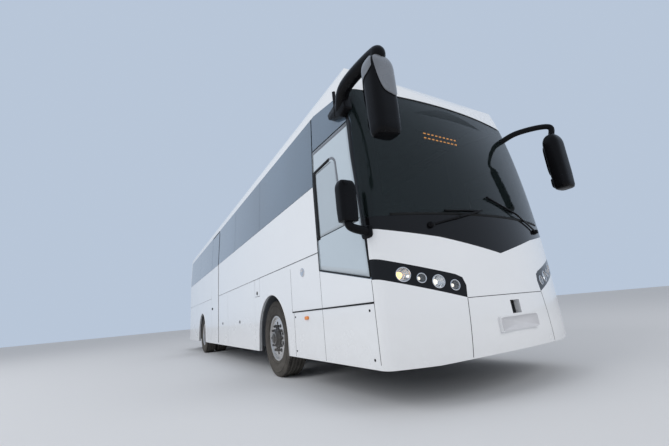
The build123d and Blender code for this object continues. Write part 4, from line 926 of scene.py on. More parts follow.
# %% Tyres on their wheels
side_names = ((-1, "offside", "right"), (1, "nearside", "left"))
for side, side_name, hand in side_names:
    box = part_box("front_tyre_" + side_name)
    wheel_y = (box[0].y + box[1].y) / 2
    piece("tread_front_" + side_name, tyre_surface(front_axle_x, wheel_y), rubber_tyre,
          "front_road_wheel_" + hand, ["front_tyre_" + side_name])
    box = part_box("rear_tyres_" + side_name)
    twins = (box[0].y + tyre_half, box[1].y - tyre_half)
    piece("tread_rear_" + side_name, stack([tyre_surface(rear_axle_x, y) for y in twins]), rubber_tyre,
          "rear_road_wheels_" + hand, ["rear_tyres_" + side_name])
print("tyre radius", round(tyre_radius, 4), "cuts", cut_count)

# %% [markdown]
# ## Wheel nuts and hub
# Ten nuts with dark caps hold each wheel on a circle 335 mm across. One nut is a short turned profile
# with a domed end, and ten copies are moved to even places on that circle. The dark hub in the middle is
# turned too, with a ring of small bolts on its flange.

# %% Nuts and hubs
nut_count, nut_circle = 10, 0.1675
bolt_count, bolt_circle, bolt_face = 8, 0.118, 0.014
front_wheel_y = 1.0875       # middle of a front tyre
front_face = 0.104           # how far the front nuts and hub stand outside that middle
rear_nut_face, rear_hub_face = 0.026, 0.112
nut_profile = [(0.0, 0.0), (0.0215, 0.0), (0.0215, 0.006), (0.0165, 0.008), (0.0155, 0.034), (0.012, 0.041),
               (0.0, 0.043)]
bolt_profile = [(0.0, 0.0), (0.0095, 0.0), (0.0095, 0.009), (0.006, 0.011), (0.0, 0.011)]
hub_profile = [(0.0, 0.0), (0.140, 0.0), (0.140, 0.012), (0.132, 0.018), (0.104, 0.022), (0.098, 0.050),
               (0.090, 0.058), (0.060, 0.060), (0.056, 0.070), (0.040, 0.074), (0.0, 0.075)]


def outward_y(shape, side, centre):
    """Mirror a shape made along +Y to the given side and move it: y times side, plus the centre."""
    v, f = shape
    v = v * np.array([1, side, 1]) + np.asarray(centre)
    return v, (f if side > 0 else f[:, ::-1])


def upright_copies(shape, places):
    """Copies of a shape that are moved to their places and not turned."""
    return copies(shape, np.repeat(np.eye(3)[None], len(places), 0), places)


def ring_of(shape, count, radius, side, centre):
    """Copies of a shape round a circle: radius times cosine and sine of even steps of a full turn."""
    angle = np.arange(count) * 2 * np.pi / count
    places = np.stack([radius * np.cos(angle), np.zeros(count), radius * np.sin(angle)], axis=-1)
    return outward_y(upright_copies(shape, places), side, centre)


nut, bolt, hub = turned(nut_profile, 12), turned(bolt_profile, 8), turned(hub_profile, 48)
for side, side_name, hand in side_names:
    front_y = side * (front_wheel_y + front_face)
    rear_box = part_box("rear_wheel_" + side_name)
    rear_y = (rear_box[0].y + rear_box[1].y) / 2
    for axle, axle_x, body, nut_y, hub_y in (
            ("front", front_axle_x, "front_road_wheel_", front_y, front_y),
            ("rear", rear_axle_x, "rear_road_wheels_", rear_y + side * rear_nut_face,
             rear_y + side * rear_hub_face)):
        nuts = ring_of(nut, nut_count, nut_circle, side, (axle_x, nut_y, axle_z))
        piece(f"nuts_{axle}_{side_name}", nuts, hub_black, body + hand)
        bolts = ring_of(bolt, bolt_count, bolt_circle, side, (axle_x, hub_y + side * bolt_face, axle_z))
        piece(f"hub_{axle}_{side_name}", stack([outward_y(hub, side, (axle_x, hub_y, axle_z)), bolts]),
              hub_black, body + hand)
print("nuts on a wheel", nut_count, "bolts on a hub", bolt_count)

# %% [markdown]
# ## Mirror heads and arms
# The main mirrors hang ahead of the nose like a pair of feelers. A head is a stack of level sections, each
# a squarish oval whose half sizes follow a smooth curve from the narrow foot to the arched top. A thick arm
# sweeps from the roof corner into the top of the head. A grey cap covers the upper front of the offside
# head, a grey sheet on its outer side is a painted reflection of the sky, and the mirror glass faces the
# driver.

# %% Heads from level ovals
head_power = 3.4


def squarish(v, power):
    """Cosine and sine, each raised to 2 / power with its sign kept: power 2 is round, more is boxier."""
    c, s = np.cos(v), np.sin(v)
    return np.sign(c) * np.abs(c) ** (2 / power), np.sign(s) * np.abs(s) ** (2 / power)


def oval_stack(rows, centre, halves, power=head_power, columns=44):
    """Stack of level ovals about one centre: half size times how full the row is, closed at both ends."""
    z, full = rows
    ox, oy = squarish(np.linspace(0, 2 * np.pi, columns, endpoint=False), power)
    points = np.stack([centre[0] + halves[0] * full[:, None] * ox, centre[1] + halves[1] * full[:, None] * oy,
                       z[:, None] * np.ones_like(ox)], axis=-1)
    middle = np.stack([np.full(len(z), centre[0]), np.full(len(z), centre[1]), z], axis=-1)
    foot_point = middle[:1, None].repeat(columns, 1)
    head_point = middle[-1:, None].repeat(columns, 1)
    return grid(np.concatenate([foot_point, points, head_point]), close_v=True)


def smooth_path(corners, count):
    """Even points on a smooth curve through the corners: on each span a cubic of it and its neighbours."""
    p = np.asarray(corners, float)
    p = np.concatenate([2 * p[:1] - p[1:2], p, 2 * p[-1:] - p[-2:-1]])
    spans = len(p) - 3
    u = np.linspace(0, spans, count)
    i = np.minimum(u.astype(int), spans - 1)
    t = (u - i)[:, None]
    a, b, c, d = p[i], p[i + 1], p[i + 2], p[i + 3]
    bend = (2 * a - 5 * b + 4 * c - d) * t ** 2 + (3 * b - a - 3 * c + d) * t ** 3
    return 0.5 * (2 * b + (c - a) * t + bend)


def mirror_arm(corners, radii, count=46):
    """Curved arm through its corners whose radius changes evenly from one corner to the next."""
    shares = np.linspace(0, len(corners) - 1, count)
    return tube(smooth_path(corners, count), np.interp(shares, np.arange(len(corners)), radii), sides=20)


def head_rows(low_z, high_z, foot_full=0.74, top_drop=0.80):
    """Heights of the sections of a head and how full each one is.

    The foot is narrow, and over the top share the root of 1 less a power of the rise makes an arch.
    """
    top_share = 0.20
    foot = [0.0, 0.004, 0.012, 0.028]
    t = np.concatenate([foot, np.linspace(0.05, 0.78, 12), 1 - top_share * np.linspace(0.95, 0, 12) ** 1.6])
    full = np.interp(t, [0.0, 0.012, 0.05, 0.28], [foot_full, foot_full + 0.12, 0.95, 1.0])
    arch = np.clip((t - (1 - top_share)) / top_share, 0, 1)
    return low_z + (high_z - low_z) * t, full * np.sqrt(1 - top_drop * arch ** 2.2)


def slab(outline, y0, y1, bevel=0.012):
    """Flat plate with rounded edges: rings of a side-view outline, drawn in by the bevel at each face."""
    p = along(outline, 0.02, closed=True)
    middle = p.mean(axis=0)
    rings = []
    near = bevel * 0.3
    for y, inset in ((y0, 1.0), (y0, bevel), (y0 + near, near), (y0 + bevel, 0), (y1 - bevel, 0),
                     (y1 - near, near), (y1, bevel), (y1, 1.0)):
        reach = np.linalg.norm(p - middle, axis=1, keepdims=True)
        ring = middle + (p - middle) * np.maximum(1 - inset / reach, 0)
        rings.append(np.stack([ring[:, 0], np.full(len(ring), y), ring[:, 1]], axis=-1))
    return grid(np.stack(rings), close_v=True)


def head_shell(rows, centre, halves, angles, low, proud):
    """Sheet over part of a head: the head's own ovals, wider by proud, between two angles and two edges."""
    z, full = rows
    u = np.linspace(0, 1, 24)[:, None]
    v = np.linspace(*angles, 28)[None, :]
    across = np.linspace(-1, 1, 28)[None, :]
    top = z[-1] - 0.030 * (1 + across ** 4)
    h = low(across) + (top - low(across)) * u
    ox, oy = squarish(v, head_power)
    f = np.interp(h, z, full)
    points = np.stack([centre[0] + (halves[0] * f + proud) * ox, centre[1] + (halves[1] * f + proud) * oy, h],
                      axis=-1)
    return grid(points)


mirror_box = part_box("mirrors")
print("mirrors", [round(c, 3) for c in (*mirror_box[0], *mirror_box[1])])

# %% Offside mirror
mirror_y = 1.330
offside_halves = (0.095, 0.120)
head_x = mirror_box[1].x - offside_halves[0]
offside_place = (head_x, -mirror_y)
offside_rows = head_rows(2.085, 2.800)
offside_head = oval_stack(offside_rows, offside_place, offside_halves)
offside_arm = mirror_arm([(station(2.330), -1.255, 2.760), (station(2.560), -1.325, 2.870),
                          (head_x, -mirror_y, 2.840), (head_x, -mirror_y, 2.740)],
                         (0.066, 0.064, 0.064, 0.066))
fin_outline = [(station(s), z) for s, z in ((2.150, 2.800), (2.165, 2.745), (2.400, 2.650), (2.490, 2.700),
                                            (2.470, 2.850), (2.330, 2.850))]
fin = slab(fin_outline, -1.315, -1.215)
pivot = tube([(station(2.300), -1.300, 2.700), (station(2.300), -1.300, 2.990)], 0.018, sides=14)
piece("mirror_offside", stack([offside_head, offside_arm, fin, pivot]), black_trim, "coach_body",
      ["mirrors"])
print("offside head from", offside_rows[0][0], "to", offside_rows[0][-1])

# %% Grey cap and painted sky reflection on the offside head
cap_thickness = 0.003


def front_cap_foot(across):
    """Lower edge of the front cap: level in the middle and swept up towards both ends."""
    return 2.400 + 0.300 * np.abs(across) ** 2.4


def sky_patch_foot(across):
    """Lower edge of the painted sky reflection on the side: a straight line that rises forward."""
    return 2.600 + 0.050 * across


front_cap = head_shell(offside_rows, offside_place, offside_halves, (-0.80, 1.35), front_cap_foot, 0.004)
# painted reflection: a grey sheet on the head's outer side stands for the sky reflected there
sky_reflection_patch = head_shell(offside_rows, offside_place, offside_halves, (-2.35, -1.02), sky_patch_foot, 0.0035)
for name, shell in (("mirror_cap_front", front_cap), ("mirror_sky_reflection", sky_reflection_patch)):
    cap = piece(name, shell, grey_trim_and_painted_reflection, "coach_body", recalc=False)
    thicken(cap, cap_thickness)
print("caps", cap_thickness, "m thick")

# %% [markdown]
# ## The nearside mirror and the low mirror
# The nearside has a head and an arm of the same kind, a little lower and slimmer and without caps. A small,
# boxier head stands low at the offside front corner on a short arm and a foot plate.

# %% Nearside mirror and the low mirror
near_x = head_x - 0.060
near_rows = head_rows(1.950, 2.640)
nearside_head = oval_stack(near_rows, (near_x, mirror_y), (0.090, 0.115))
nearside_arm = mirror_arm([(station(2.480), 1.000, 2.700), (station(2.700), 1.150, 2.790),
                           (near_x, mirror_y, 2.760), (near_x, mirror_y, 2.600)],
                          (0.036, 0.034, 0.032, 0.034))
piece("mirror_nearside", stack([nearside_head, nearside_arm]), black_trim, "coach_body")

low_x = station(2.570)
low_y = -1.455
low_rows = head_rows(1.508, 1.868, foot_full=0.80, top_drop=0.45)
low_head = oval_stack(low_rows, (low_x, low_y), (0.062, 0.084), power=4.5)
low_arm = mirror_arm([(low_x - 0.005, -1.250, 1.430), (low_x, -1.440, 1.470), (low_x, low_y, 1.560)],
                     (0.040, 0.037, 0.032))
foot_plate = pillow_box((low_x - 0.090, -1.290, 1.375), (low_x + 0.045, -1.240, 1.490), power=3.5)
piece("mirror_low", stack([low_head, low_arm, foot_plate]), black_trim, "coach_body")
print("low mirror at", round(low_x, 3), low_y)

# %% [markdown]
# ## Mirror glasses
# Both big heads carry a tall glass and a small wide-angle one under it, and the low head carries one. Each
# is a slightly domed pane on the rear of its head, with bright metal for the silver behind the glass.

# %% Mirror glasses
pane_dome = 0.004


def mirror_pane(x, y, z0, z1, half):
    """Domed pane in a squarish oval outline: its depth is the dome times 1 less the square of the way out."""
    u = np.linspace(0, 1, 10)[:, None]
    oy, oz = squarish(np.linspace(0, 2 * np.pi, 40, endpoint=False)[None, :], 4)
    points = np.stack([x - pane_dome * (1 - u ** 2) * np.ones_like(oy), y + u * half * oy,
                       (z0 + z1) / 2 + u * (z1 - z0) / 2 * oz], axis=-1)
    return grid(points, close_v=True)


pane_table = (               # rear face, middle across, foot, head and half width of each pane
    (head_x - 0.097, -mirror_y, 2.32, 2.68, 0.095),
    (head_x - 0.096, -mirror_y, 2.16, 2.29, 0.090),
    (near_x - 0.092, mirror_y, 2.13, 2.52, 0.090),
    (near_x - 0.091, mirror_y, 1.98, 2.10, 0.086),
    (low_x - 0.064, low_y, 1.54, 1.83, 0.068),
)
panes = [mirror_pane(*row) for row in pane_table]
piece("mirror_glasses", stack(panes), mirror_face, "coach_body")
print("mirror panes", len(panes))

# %% [markdown]
# ## Lamps in the nose
# Four round lamps sit in each black band. Each one is a thin clear lens that follows the bowed band, a
# chrome ring on its edge, a bowl whose depth grows from rim to middle like a dish, and a bulb or a
# projector ball in front of it. The outermost one is the indicator, with an amber bulb.

# %% Lamp bowls, lenses and rings
lamp_table = (               # distance from the middle, height and radius, from the outermost lamp inwards
    (1.064, 1.043, 0.061),
    (0.919, 1.003, 0.042),
    (0.777, 0.965, 0.057),
    (0.633, 0.925, 0.046),
)
shrouded = (1, 3)            # the two small lamps have black shrouds in place of chrome bowls
bowl_depth = 0.026
lens_inset = 0.003           # how much smaller a lens is than its hole
lens_thickness = 0.003
behind_lens = 0.008          # where a bowl's rim lies behind its lens
ring_proud, ring_bar = 0.0015, 0.0045
bulb_share = 0.34            # radius of a bulb as a share of its lamp's
step_shares = (0.62, 0.84)   # where the two fine steps lie in a bowl
step_bar = 0.0016


def disc_on_nose(y, z, radius, rows=7, columns=36):
    """Round patch of the nose: its middle plus shares of the way to the points on its rim."""
    u = np.linspace(0, 1, rows)[:, None, None]
    v = np.linspace(0, 2 * np.pi, columns, endpoint=False)
    rim = on_nose(y + radius * np.cos(v), z + radius * np.sin(v))
    middle = rim.mean(axis=0)
    return middle + (rim - middle) * u


def emitting(name, colour, strength, base):
    """Finish for a lit bulb."""
    material = finish(name, base, 0.25, patch=0.95, patch_scale=80.0)
    shader = material.node_tree.nodes["Principled BSDF"]
    shader.inputs["Emission Color"].default_value = (*colour, 1)
    shader.inputs["Emission Strength"].default_value = strength
    return material


lit_amber = emitting("lit_amber", (1.0, 0.55, 0.16), 4.0, (0.9, 0.5, 0.15))
lit_pale = emitting("lit_pale", (1.0, 0.93, 0.80), 1.2, (0.9, 0.88, 0.82))
print("lamps on each side", len(lamp_table))

# %% Lamp pieces


def dish_x(rim_x, floor_x, share):
    """Depth in a bowl: the rim's place times the share squared, plus the floor's times the rest."""
    return (rim_x - behind_lens) * share ** 2 + floor_x * (1 - share ** 2)


lenses, rings, bowls, shrouds, pale_bulbs, amber_bulbs = [], [], [], [], [], []
for side in (-1, 1):
    for number, (y, z, radius) in enumerate(lamp_table):
        patch_points = disc_on_nose(side * y, z, radius - lens_inset)
        lenses.append(grid(patch_points, close_v=True))
        rim, middle = patch_points[-1], patch_points[0, 0]
        rings.append(tube(rim + np.array([ring_proud, 0, 0]), ring_bar, sides=8, closed=True))
        floor_x = rim[:, 0].min() - bowl_depth
        bowl = patch_points.copy()
        bowl[..., 0] = dish_x(patch_points[..., 0], floor_x, np.linspace(0, 1, len(patch_points))[:, None])
        target = shrouds if number in shrouded else bowls
        target.append(grid(bowl, close_v=True))
        centre = np.array([floor_x + 0.002, side * y, z])
        ball = radius * bulb_share
        bulb = pillow_box(centre - ball, centre + ball, power=2.0, rows=12, columns=20)
        (amber_bulbs if number == 0 else pale_bulbs).append(bulb)
        for share in step_shares:
            step_ring = middle + (rim - middle) * share
            step_ring[:, 0] = dish_x(step_ring[:, 0], floor_x, share) + ring_proud
            target.append(tube(step_ring, step_bar, sides=6, closed=True))
lens_piece = piece("lamp_lenses", stack(lenses), lamp_glass, "coach_body", ["front_lamps"],
                   recalc=False)
thicken(lens_piece, lens_thickness)
piece("lamp_rings", stack(rings), chrome, "coach_body")
piece("lamp_bowls", stack(bowls), chrome, "coach_body", recalc=False)
piece("lamp_shrouds", stack(shrouds), black_gloss, "coach_body", recalc=False)
piece("pale_bulbs", stack(pale_bulbs), lit_pale, "coach_body")
piece("amber_bulbs", stack(amber_bulbs), lit_amber, "coach_body")
print("bowls", len(bowls), "shrouds", len(shrouds), "bulbs", len(pale_bulbs) + len(amber_bulbs))

# %% [markdown]
# ## Seals, mouldings and seams
# A rubber seal or a moulding is a low flat ribbon that follows a line on the panel. Its section has four
# corners: two on the panel and two a little closer together on top. A shut line that the solids don't
# have is a ribbon too, only a few millimetres wide and almost flush, in a dark finish.

# %% Ribbons on the panels


def ribbon(points, normal, width, height, closed=False):
    """Low ribbon: each point plus shares of the width across the line and of the height off the panel."""
    p = np.asarray(points, float)
    ahead = np.roll(p, -1, 0) - np.roll(p, 1, 0) if closed else np.gradient(p, axis=0)
    ahead /= np.linalg.norm(ahead, axis=1, keepdims=True)
    n = np.broadcast_to(np.asarray(normal, float), p.shape)
    across = np.cross(n, ahead)
    across /= np.linalg.norm(across, axis=1, keepdims=True)
    section = [(-0.5, -0.3), (-0.40, 1.0), (0.40, 1.0), (0.5, -0.3)]
    points = np.stack([p + across * width * a + n * height * b for a, b in section], axis=1)
    if not closed:
        points = np.concatenate([points[:1].mean(axis=1, keepdims=True).repeat(4, 1), points,
                                 points[-1:].mean(axis=1, keepdims=True).repeat(4, 1)])
    return grid(points, close_u=closed, close_v=True)


def side_ribbon(corners, side, width, height, step=0.06):
    """Ribbon on a coach side through (x, z) corners, with its normal straight outwards."""
    line = along(corners, step)
    return ribbon(on_side(line[:, 0], line[:, 1], side), (0, side, 0), width, height)


def nose_ribbon(corners, width, height, step=0.05):
    """Ribbon on the nose through (y, z) corners, with its normal the part of forward across the line."""
    line = along(corners, step)
    points = on_nose(line[:, 0], line[:, 1])
    tangent = np.gradient(points, axis=0)
    normal = np.cross(tangent, np.cross([1.0, 0, 0], tangent))
    normal /= np.linalg.norm(normal, axis=1, keepdims=True)
    return ribbon(points, normal, width, height)


print("a plain ribbon has", len(ribbon([(0, 0, 0), (1, 0, 0)], (0, 0, 1), 0.01, 0.01)[1]), "faces")

# %% Seams and skirt moulding
skirt_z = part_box("side_wall_offside")[0].z
waist_z = 1.430
waist_line_z = waist_z + 0.008
moulding_z = 0.84
front_seam_x = station(0.80)
corner_x = seam_x - 0.002
corner_head, corner_foot = 1.02, 0.36
cover_head, cover_foot = 0.812, 0.345              # middle panel of the bumper
cover_head_half, cover_foot_half = 0.54, 0.59
side_seam, nose_seam = (0.005, 0.0008), (0.006, 0.0010)      # width and height

seams = [
    side_ribbon([(front_seam_x, waist_z), (front_seam_x, moulding_z)], -1, *side_seam),
    side_ribbon([(station(0.85), moulding_z - 0.01), (station(0.85), skirt_z + 0.01)], -1, *side_seam),
    side_ribbon([(front_seam_x, waist_z), (front_seam_x, corner_foot)], 1, *side_seam),
    side_ribbon([(cab_rear_x, waist_z), (cab_rear_x, skirt_z + 0.01)], -1, *side_seam),
    side_ribbon([(corner_x, corner_head), (corner_x, corner_foot)], -1, *nose_seam),
    side_ribbon([(corner_x, corner_head), (corner_x, corner_foot)], 1, *nose_seam),
]
for side in (-1, 1):
    corners = [(side * cover_head_half, cover_head), (side * cover_foot_half, cover_foot)]
    seams.append(nose_ribbon(corners, *nose_seam))
seams.append(nose_ribbon([(-cover_head_half, cover_head), (cover_head_half, cover_head)], *nose_seam))
seams.append(side_ribbon([(station(-3.84), waist_line_z), (cab_rear_x, waist_line_z)], -1, 0.008, 0.0008))
seams.append(side_ribbon([(station(-9.10), waist_line_z), (station(-4.82), waist_line_z)], -1, *side_seam))
piece("panel_seams", stack(seams), rubber_seal, "coach_body")

mouldings = [side_ribbon([(station(0.806), moulding_z), (station(front), moulding_z)], side, 0.016, 0.005)
             for side, front in ((-1, 2.545), (1, 1.60))]
piece("skirt_moulding", stack(mouldings), rubber_seal, "coach_body")
print("seams", len(seams), "mouldings", len(mouldings))

# %% Lips of the wheel arches
arch_radius = 0.622
arch_z = 0.500
lip_bar = 0.011
lip_inset = 0.004


def arch_lip(axle_x, side):
    """Rolled edge round a wheel opening: a bar at radius times sine and cosine, and down to the skirt."""
    half = math.pi / 2
    t = np.linspace(-half, half, 40)
    x = axle_x + (arch_radius + lip_inset) * np.sin(t)
    z = arch_z + (arch_radius + lip_inset) * np.cos(t)
    x = np.concatenate([[x[0]], x, [x[-1]]])
    z = np.concatenate([[skirt_z + lip_inset], z, [skirt_z + lip_inset]])
    line = np.stack([x, np.full(len(x), side * (half_width - lip_inset)), z], axis=-1)
    return tube(line, lip_bar, sides=10)


lips = [arch_lip(x, side) for x in (front_axle_x, rear_axle_x) for side in (-1, 1)]
piece("arch_lips", stack(lips), front_paint, "coach_body")
print("arch lips", len(lips))

# %% [markdown]
# ## The driver's side window
# The glass panel round the driver's window is a thin sheet that lies on the big bonded pane; its pale colour
# is a painted reflection of the sky. Each of its level rows runs from the post behind it to the slanting edge
# in front.
# The driver's own pane lies on the panel, pale with a painted sky reflection too, with a thick black rubber
# behind it and above it and a grey strip that turns down its front.

# %% Sheets for the driver's window
panel_rear_x = 4.722
pane_rear_x = 4.790
pane_foot_z, pane_head_z = 1.590, 2.325
corner_radius = 0.110
sheet_thickness = 0.0016


def offside_sheet(rear, front, foot_z, head_z, proud, rows=24, columns=18):
    """Sheet on the offside: even shares of the way from the rear edge to the front and from foot to head.

    Rear and front give the X of an edge at each height, and foot and head a height at the rear and the front.
    """
    z = np.linspace(0, 1, rows)[:, None]
    across = np.linspace(0, 1, columns)[None, :]
    foot = foot_z[0] + (foot_z[1] - foot_z[0]) * across
    head = head_z[0] + (head_z[1] - head_z[0]) * across
    height = foot + (head - foot) * z
    x = rear(height) + (front(height) - rear(height)) * across
    return grid(on_side(x, height, -1, proud))


def panel_rear(z):
    """Upright rear edge of the pale panel."""
    return np.full_like(z, panel_rear_x)


def pane_rear(z):
    """Upright rear edge of the driver's pane."""
    return np.full_like(z, pane_rear_x)


def panel_front(z):
    """Front edge of the pale panel, which leans back with the windscreen's post above the waist."""
    heights = [1.00, 1.40, 1.47, 1.61, 2.54, 2.62, 2.94]
    return np.interp(z, heights, [5.634, 5.614, 5.584, 5.580, 5.501, 5.494, 5.385])


def post_rear(z):
    """Rear edge of the black post, just ahead of the pale panel."""
    return panel_front(z) + 0.004


def post_front(z):
    """Front edge of the side glass, where the windscreen begins."""
    return np.interp(z, [1.029, 1.560, 2.580, 2.958], [5.639, 5.611, 5.559, 5.434])


def pane_front(z):
    """Front edge of the driver's pane: a lean, less a quarter of a circle at its upper corner."""
    lean = np.interp(z, [1.58, 2.10], [5.295, 5.242])
    corner = np.clip((z - (pane_head_z - corner_radius)) / corner_radius, 0, 1)
    return lean - corner_radius * (1 - np.sqrt(1 - corner ** 2))


panel_sheet = offside_sheet(panel_rear, panel_front, (1.245, 1.050), (2.625, 2.588), 0.0018)
post_sheet = offside_sheet(post_rear, post_front, (1.450, 1.450), (2.940, 2.940), 0.0018)
pane_sheet = offside_sheet(pane_rear, pane_front, (pane_foot_z, pane_foot_z), (pane_head_z, pane_head_z),
                           0.0036)
for name, sheet, sheet_finish, slot in (("cab_panel", panel_sheet, panel_glass_painted_sky, "tinted_glass"),
                                        ("cab_post", post_sheet, black_gloss, "black_gloss"),
                                        ("cab_pane", pane_sheet, cab_glass_painted_sky, "tinted_glass")):
    thicken(piece(name, sheet, sheet_finish, "coach_body", recalc=False), sheet_thickness, offset=0)
print("cab sheets", len(panel_sheet[1]) + len(post_sheet[1]) + len(pane_sheet[1]), "faces")

# %% [markdown]
# ## Rubber, band and lines of the driver's window
# All three are ribbons on the same side. The rubber stands behind the pane and over it. The grey band turns
# round the pane's upper corner and runs down its front, and a second one lies across the panel's head. The
# thin lines are the joints at the pane's foot, at the panel's edges and up the post behind the window.

# %% Ribbons round the driver's window
window_rear_x, window_top_z, window_foot_z = 4.765, 2.345, 1.583
turn_x, turn_radius = 5.12, 0.13       # where the band starts to turn down, and how widely
cab_rubber = [
    side_ribbon([(window_rear_x, window_foot_z - 0.02), (window_rear_x, window_top_z)], -1, 0.078, 0.008),
    side_ribbon([(window_rear_x - 0.03, window_top_z), (turn_x, window_top_z + 0.012)], -1, 0.042, 0.008),
]
piece("cab_window_rubber", stack(cab_rubber), rubber_seal, "coach_body")

turn_z = window_top_z - 0.115
corner_line = [(turn_x + turn_radius * math.cos(a), turn_z + turn_radius * math.sin(a))
               for a in np.linspace(math.pi / 2, 0, 9)]
grey_strips = [
    side_ribbon([*corner_line, (5.30, window_foot_z)], -1, 0.030, 0.007, step=0.03),
    side_ribbon([(4.73, 2.602), (5.495, 2.565)], -1, 0.045, 0.005),
]
piece("cab_window_band", stack(grey_strips), grey_trim_and_painted_reflection, "coach_body")

thin_line_table = (          # corners, width and height of each line
    ([(4.80, window_foot_z), (5.575, window_foot_z)], 0.010, 0.004),
    ([(4.73, 2.637), (5.52, 2.597)], 0.010, 0.004),
    ([(4.712, 1.235), (4.712, 3.08)], 0.012, 0.004),
    ([(panel_rear_x, 1.240), (5.624, 1.045)], 0.016, 0.003),
    ([(5.630, 1.045), (5.616, 1.400), (5.603, 1.460)], 0.020, 0.003),
)
thin_lines = [side_ribbon(corners, -1, width, height) for corners, width, height in thin_line_table]
piece("cab_window_lines", stack(thin_lines), rubber_seal, "coach_body")
print("cab ribbons", len(cab_rubber) + len(grey_strips) + len(thin_lines))

# %% [markdown]
# ## Rubbers of the screen and the emergency door
# The screen is bonded in, and a black rubber shows across its foot and its head. The emergency door hangs
# on its front edge, where a rubber strip hides the hinge. All three are flat ribbons, and their places come
# from the boxes of the solid pieces. The gaps round the luggage doors are in the solids already.

# %% Screen rubber and hinge rubber
screen_low, screen_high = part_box("windscreen")
screen_half = 1.085
screen_foot = screen_low.z + 0.012
screen_head = screen_high.z - 0.02
screen_rubber = [
    nose_ribbon([(-screen_half, screen_foot), (screen_half, screen_foot)], 0.026, 0.006),
    nose_ribbon([(-screen_half + 0.01, screen_head), (screen_half - 0.01, screen_head)], 0.020, 0.005),
]
piece("screen_rubber", stack(screen_rubber), rubber_seal, "coach_body")

exit_low, exit_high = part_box("emergency_door")
hinge_x = exit_high.x + 0.020
exit_hinge = side_ribbon([(hinge_x, exit_low.z + 0.03), (hinge_x, exit_high.z - 0.03)], -1, 0.022, 0.005)
piece("exit_hinge_rubber", exit_hinge, rubber_seal, "coach_body")
print("hinge rubber at", round(hinge_x, 3))

# %% [markdown]
# ## Small fittings on the sides
# Locks, fastener heads and the round chrome lamp are turned profiles, and the side markers and handles are
# pillows pressed onto the side. Each one that sits on a door or flap rides on that piece's body.

# %% Locks, fasteners and the round lamp


def on_side_axis(profile, x, z, side, steps=28):
    """Turned fitting whose axis stands square on the side at x, z: the profile swept, plus that place."""
    points, faces = turned(profile, steps)
    points = points * np.array([1, side, 1])
    return points + on_side(x, z, side), faces


lock_profile = [(0.0, -0.004), (0.030, -0.004), (0.030, 0.003), (0.026, 0.0055), (0.022, 0.0045),
                (0.010, 0.0045), (0.009, 0.0015), (0.0, 0.0015)]
fastener_profile = [(0.0, -0.003), (0.011, -0.003), (0.011, 0.003), (0.008, 0.005), (0.004, 0.0052),
                    (0.0035, 0.003), (0.0, 0.003)]
round_lamp_profile = [(0.0, -0.004), (0.052, -0.004), (0.052, 0.006), (0.046, 0.010), (0.040, 0.009),
                      (0.036, 0.004), (0.0, 0.003)]
bay_front, bay_split, exit_front, exit_rear = station(-0.80), station(-2.84), station(-3.88), station(-4.78)
lock_z = 0.781
lock_places = (              # side of each luggage door and the edges that its lock lies between
    (-1, bay_front, bay_split),
    (-1, bay_split, exit_front),
    (1, bay_front, bay_split),
    (1, bay_split, exit_rear),
)
for number, (side, front, rear) in enumerate(lock_places, start=1):
    lock = on_side_axis(lock_profile, (front + rear) / 2, lock_z, side)
    piece(f"luggage_lock_{number}", lock, black_trim, f"luggage_door_{number}")
filler_lock = on_side_axis(lock_profile, station(-0.667), 1.206, -1)
piece("filler_lock", filler_lock, black_trim, "fuel_flap")

fastener_places = ((0.886, 0.390), (2.473, 0.393), (0.886, 0.780), (2.473, 0.780))
fasteners = [on_side_axis(fastener_profile, station(s), z, -1, steps=14) for s, z in fastener_places]
piece("panel_fasteners", stack(fasteners), black_trim, "coach_body")
round_lamp = on_side_axis(round_lamp_profile, station(1.176), 1.284, -1, steps=40)
piece("corner_lamp_ring", round_lamp, chrome, "coach_body")
print("locks", len(lock_places) + 1, "fasteners", len(fasteners))

# %% Markers, handles and the passenger door's edges
sunk = 0.006                 # how deep a block reaches into its panel


def side_pillow(x, z, half_x, half_z, proud, side, power=4.0):
    """Pillow on a side, from a little inside the panel to proud outside it."""
    y = on_side(x, z, side)[1]
    low = (x - half_x, min(y - sunk * side, y + proud * side), z - half_z)
    high = (x + half_x, max(y - sunk * side, y + proud * side), z + half_z)
    return pillow_box(low, high, power, rows=12, columns=24)


markers = [side_pillow(station(1.219), 0.760, 0.052, 0.020, 0.014, side) for side in (-1, 1)]
piece("side_markers", stack(markers), amber, "coach_body")
piece("exit_handle", side_pillow(station(-4.662), 1.170, 0.060, 0.028, 0.016, -1, 3.0), black_trim,
      "emergency_door_leaf")

door_low, door_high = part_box("passenger_door")
grip_x = door_low.x + 0.09
grip = side_pillow(grip_x, 1.25, 0.030, 0.075, 0.014, 1, 3.0)
door_edges = [side_ribbon([(x, door_low.z + 0.02), (x, door_high.z - 0.02)], 1, 0.016, 0.004)
              for x in (door_low.x + 0.010, door_high.x - 0.010)]
piece("passenger_door_trim", stack([grip, *door_edges]), rubber_seal, "coach_body")
print("side markers", len(markers), "door edges", len(door_edges))

# %% [markdown]
# ## Number plates
# A plate is a blank white sheet with a raised edge, and lies on a flat seat at each end of the coach. It is a
# stack of rings: squarish ovals of the plate's size that rise a little just inside the edge.

# %% Number plates
plate_size = (0.520, 0.114)
plate_gap = 0.0005
plate_rings = ((0.0, 0.0025), (0.965, 0.0025), (0.975, 0.004), (0.992, 0.004), (1.0, 0.0025), (1.0, 0.0))


def plate(x, y, z, facing):
    """Blank plate: rings with half sizes times a flattened cosine and sine, each at its own rise."""
    width, height = plate_size
    t = np.linspace(0, 2 * np.pi, 48, endpoint=False)
    across, upwards = (np.sign(value) * np.abs(value) ** 0.16 for value in (np.cos(t), np.sin(t)))
    rings = []
    for share, rise in plate_rings:
        inset = (1 - share) * height / 2
        half_w = (width / 2 - inset) if share else 0
        half_h = (height / 2 - inset) if share else 0
        rings.append(np.stack([np.full(len(t), x + facing * rise), y + half_w * across, z + half_h * upwards],
                              axis=-1))
    return grid(np.stack(rings), close_v=True)


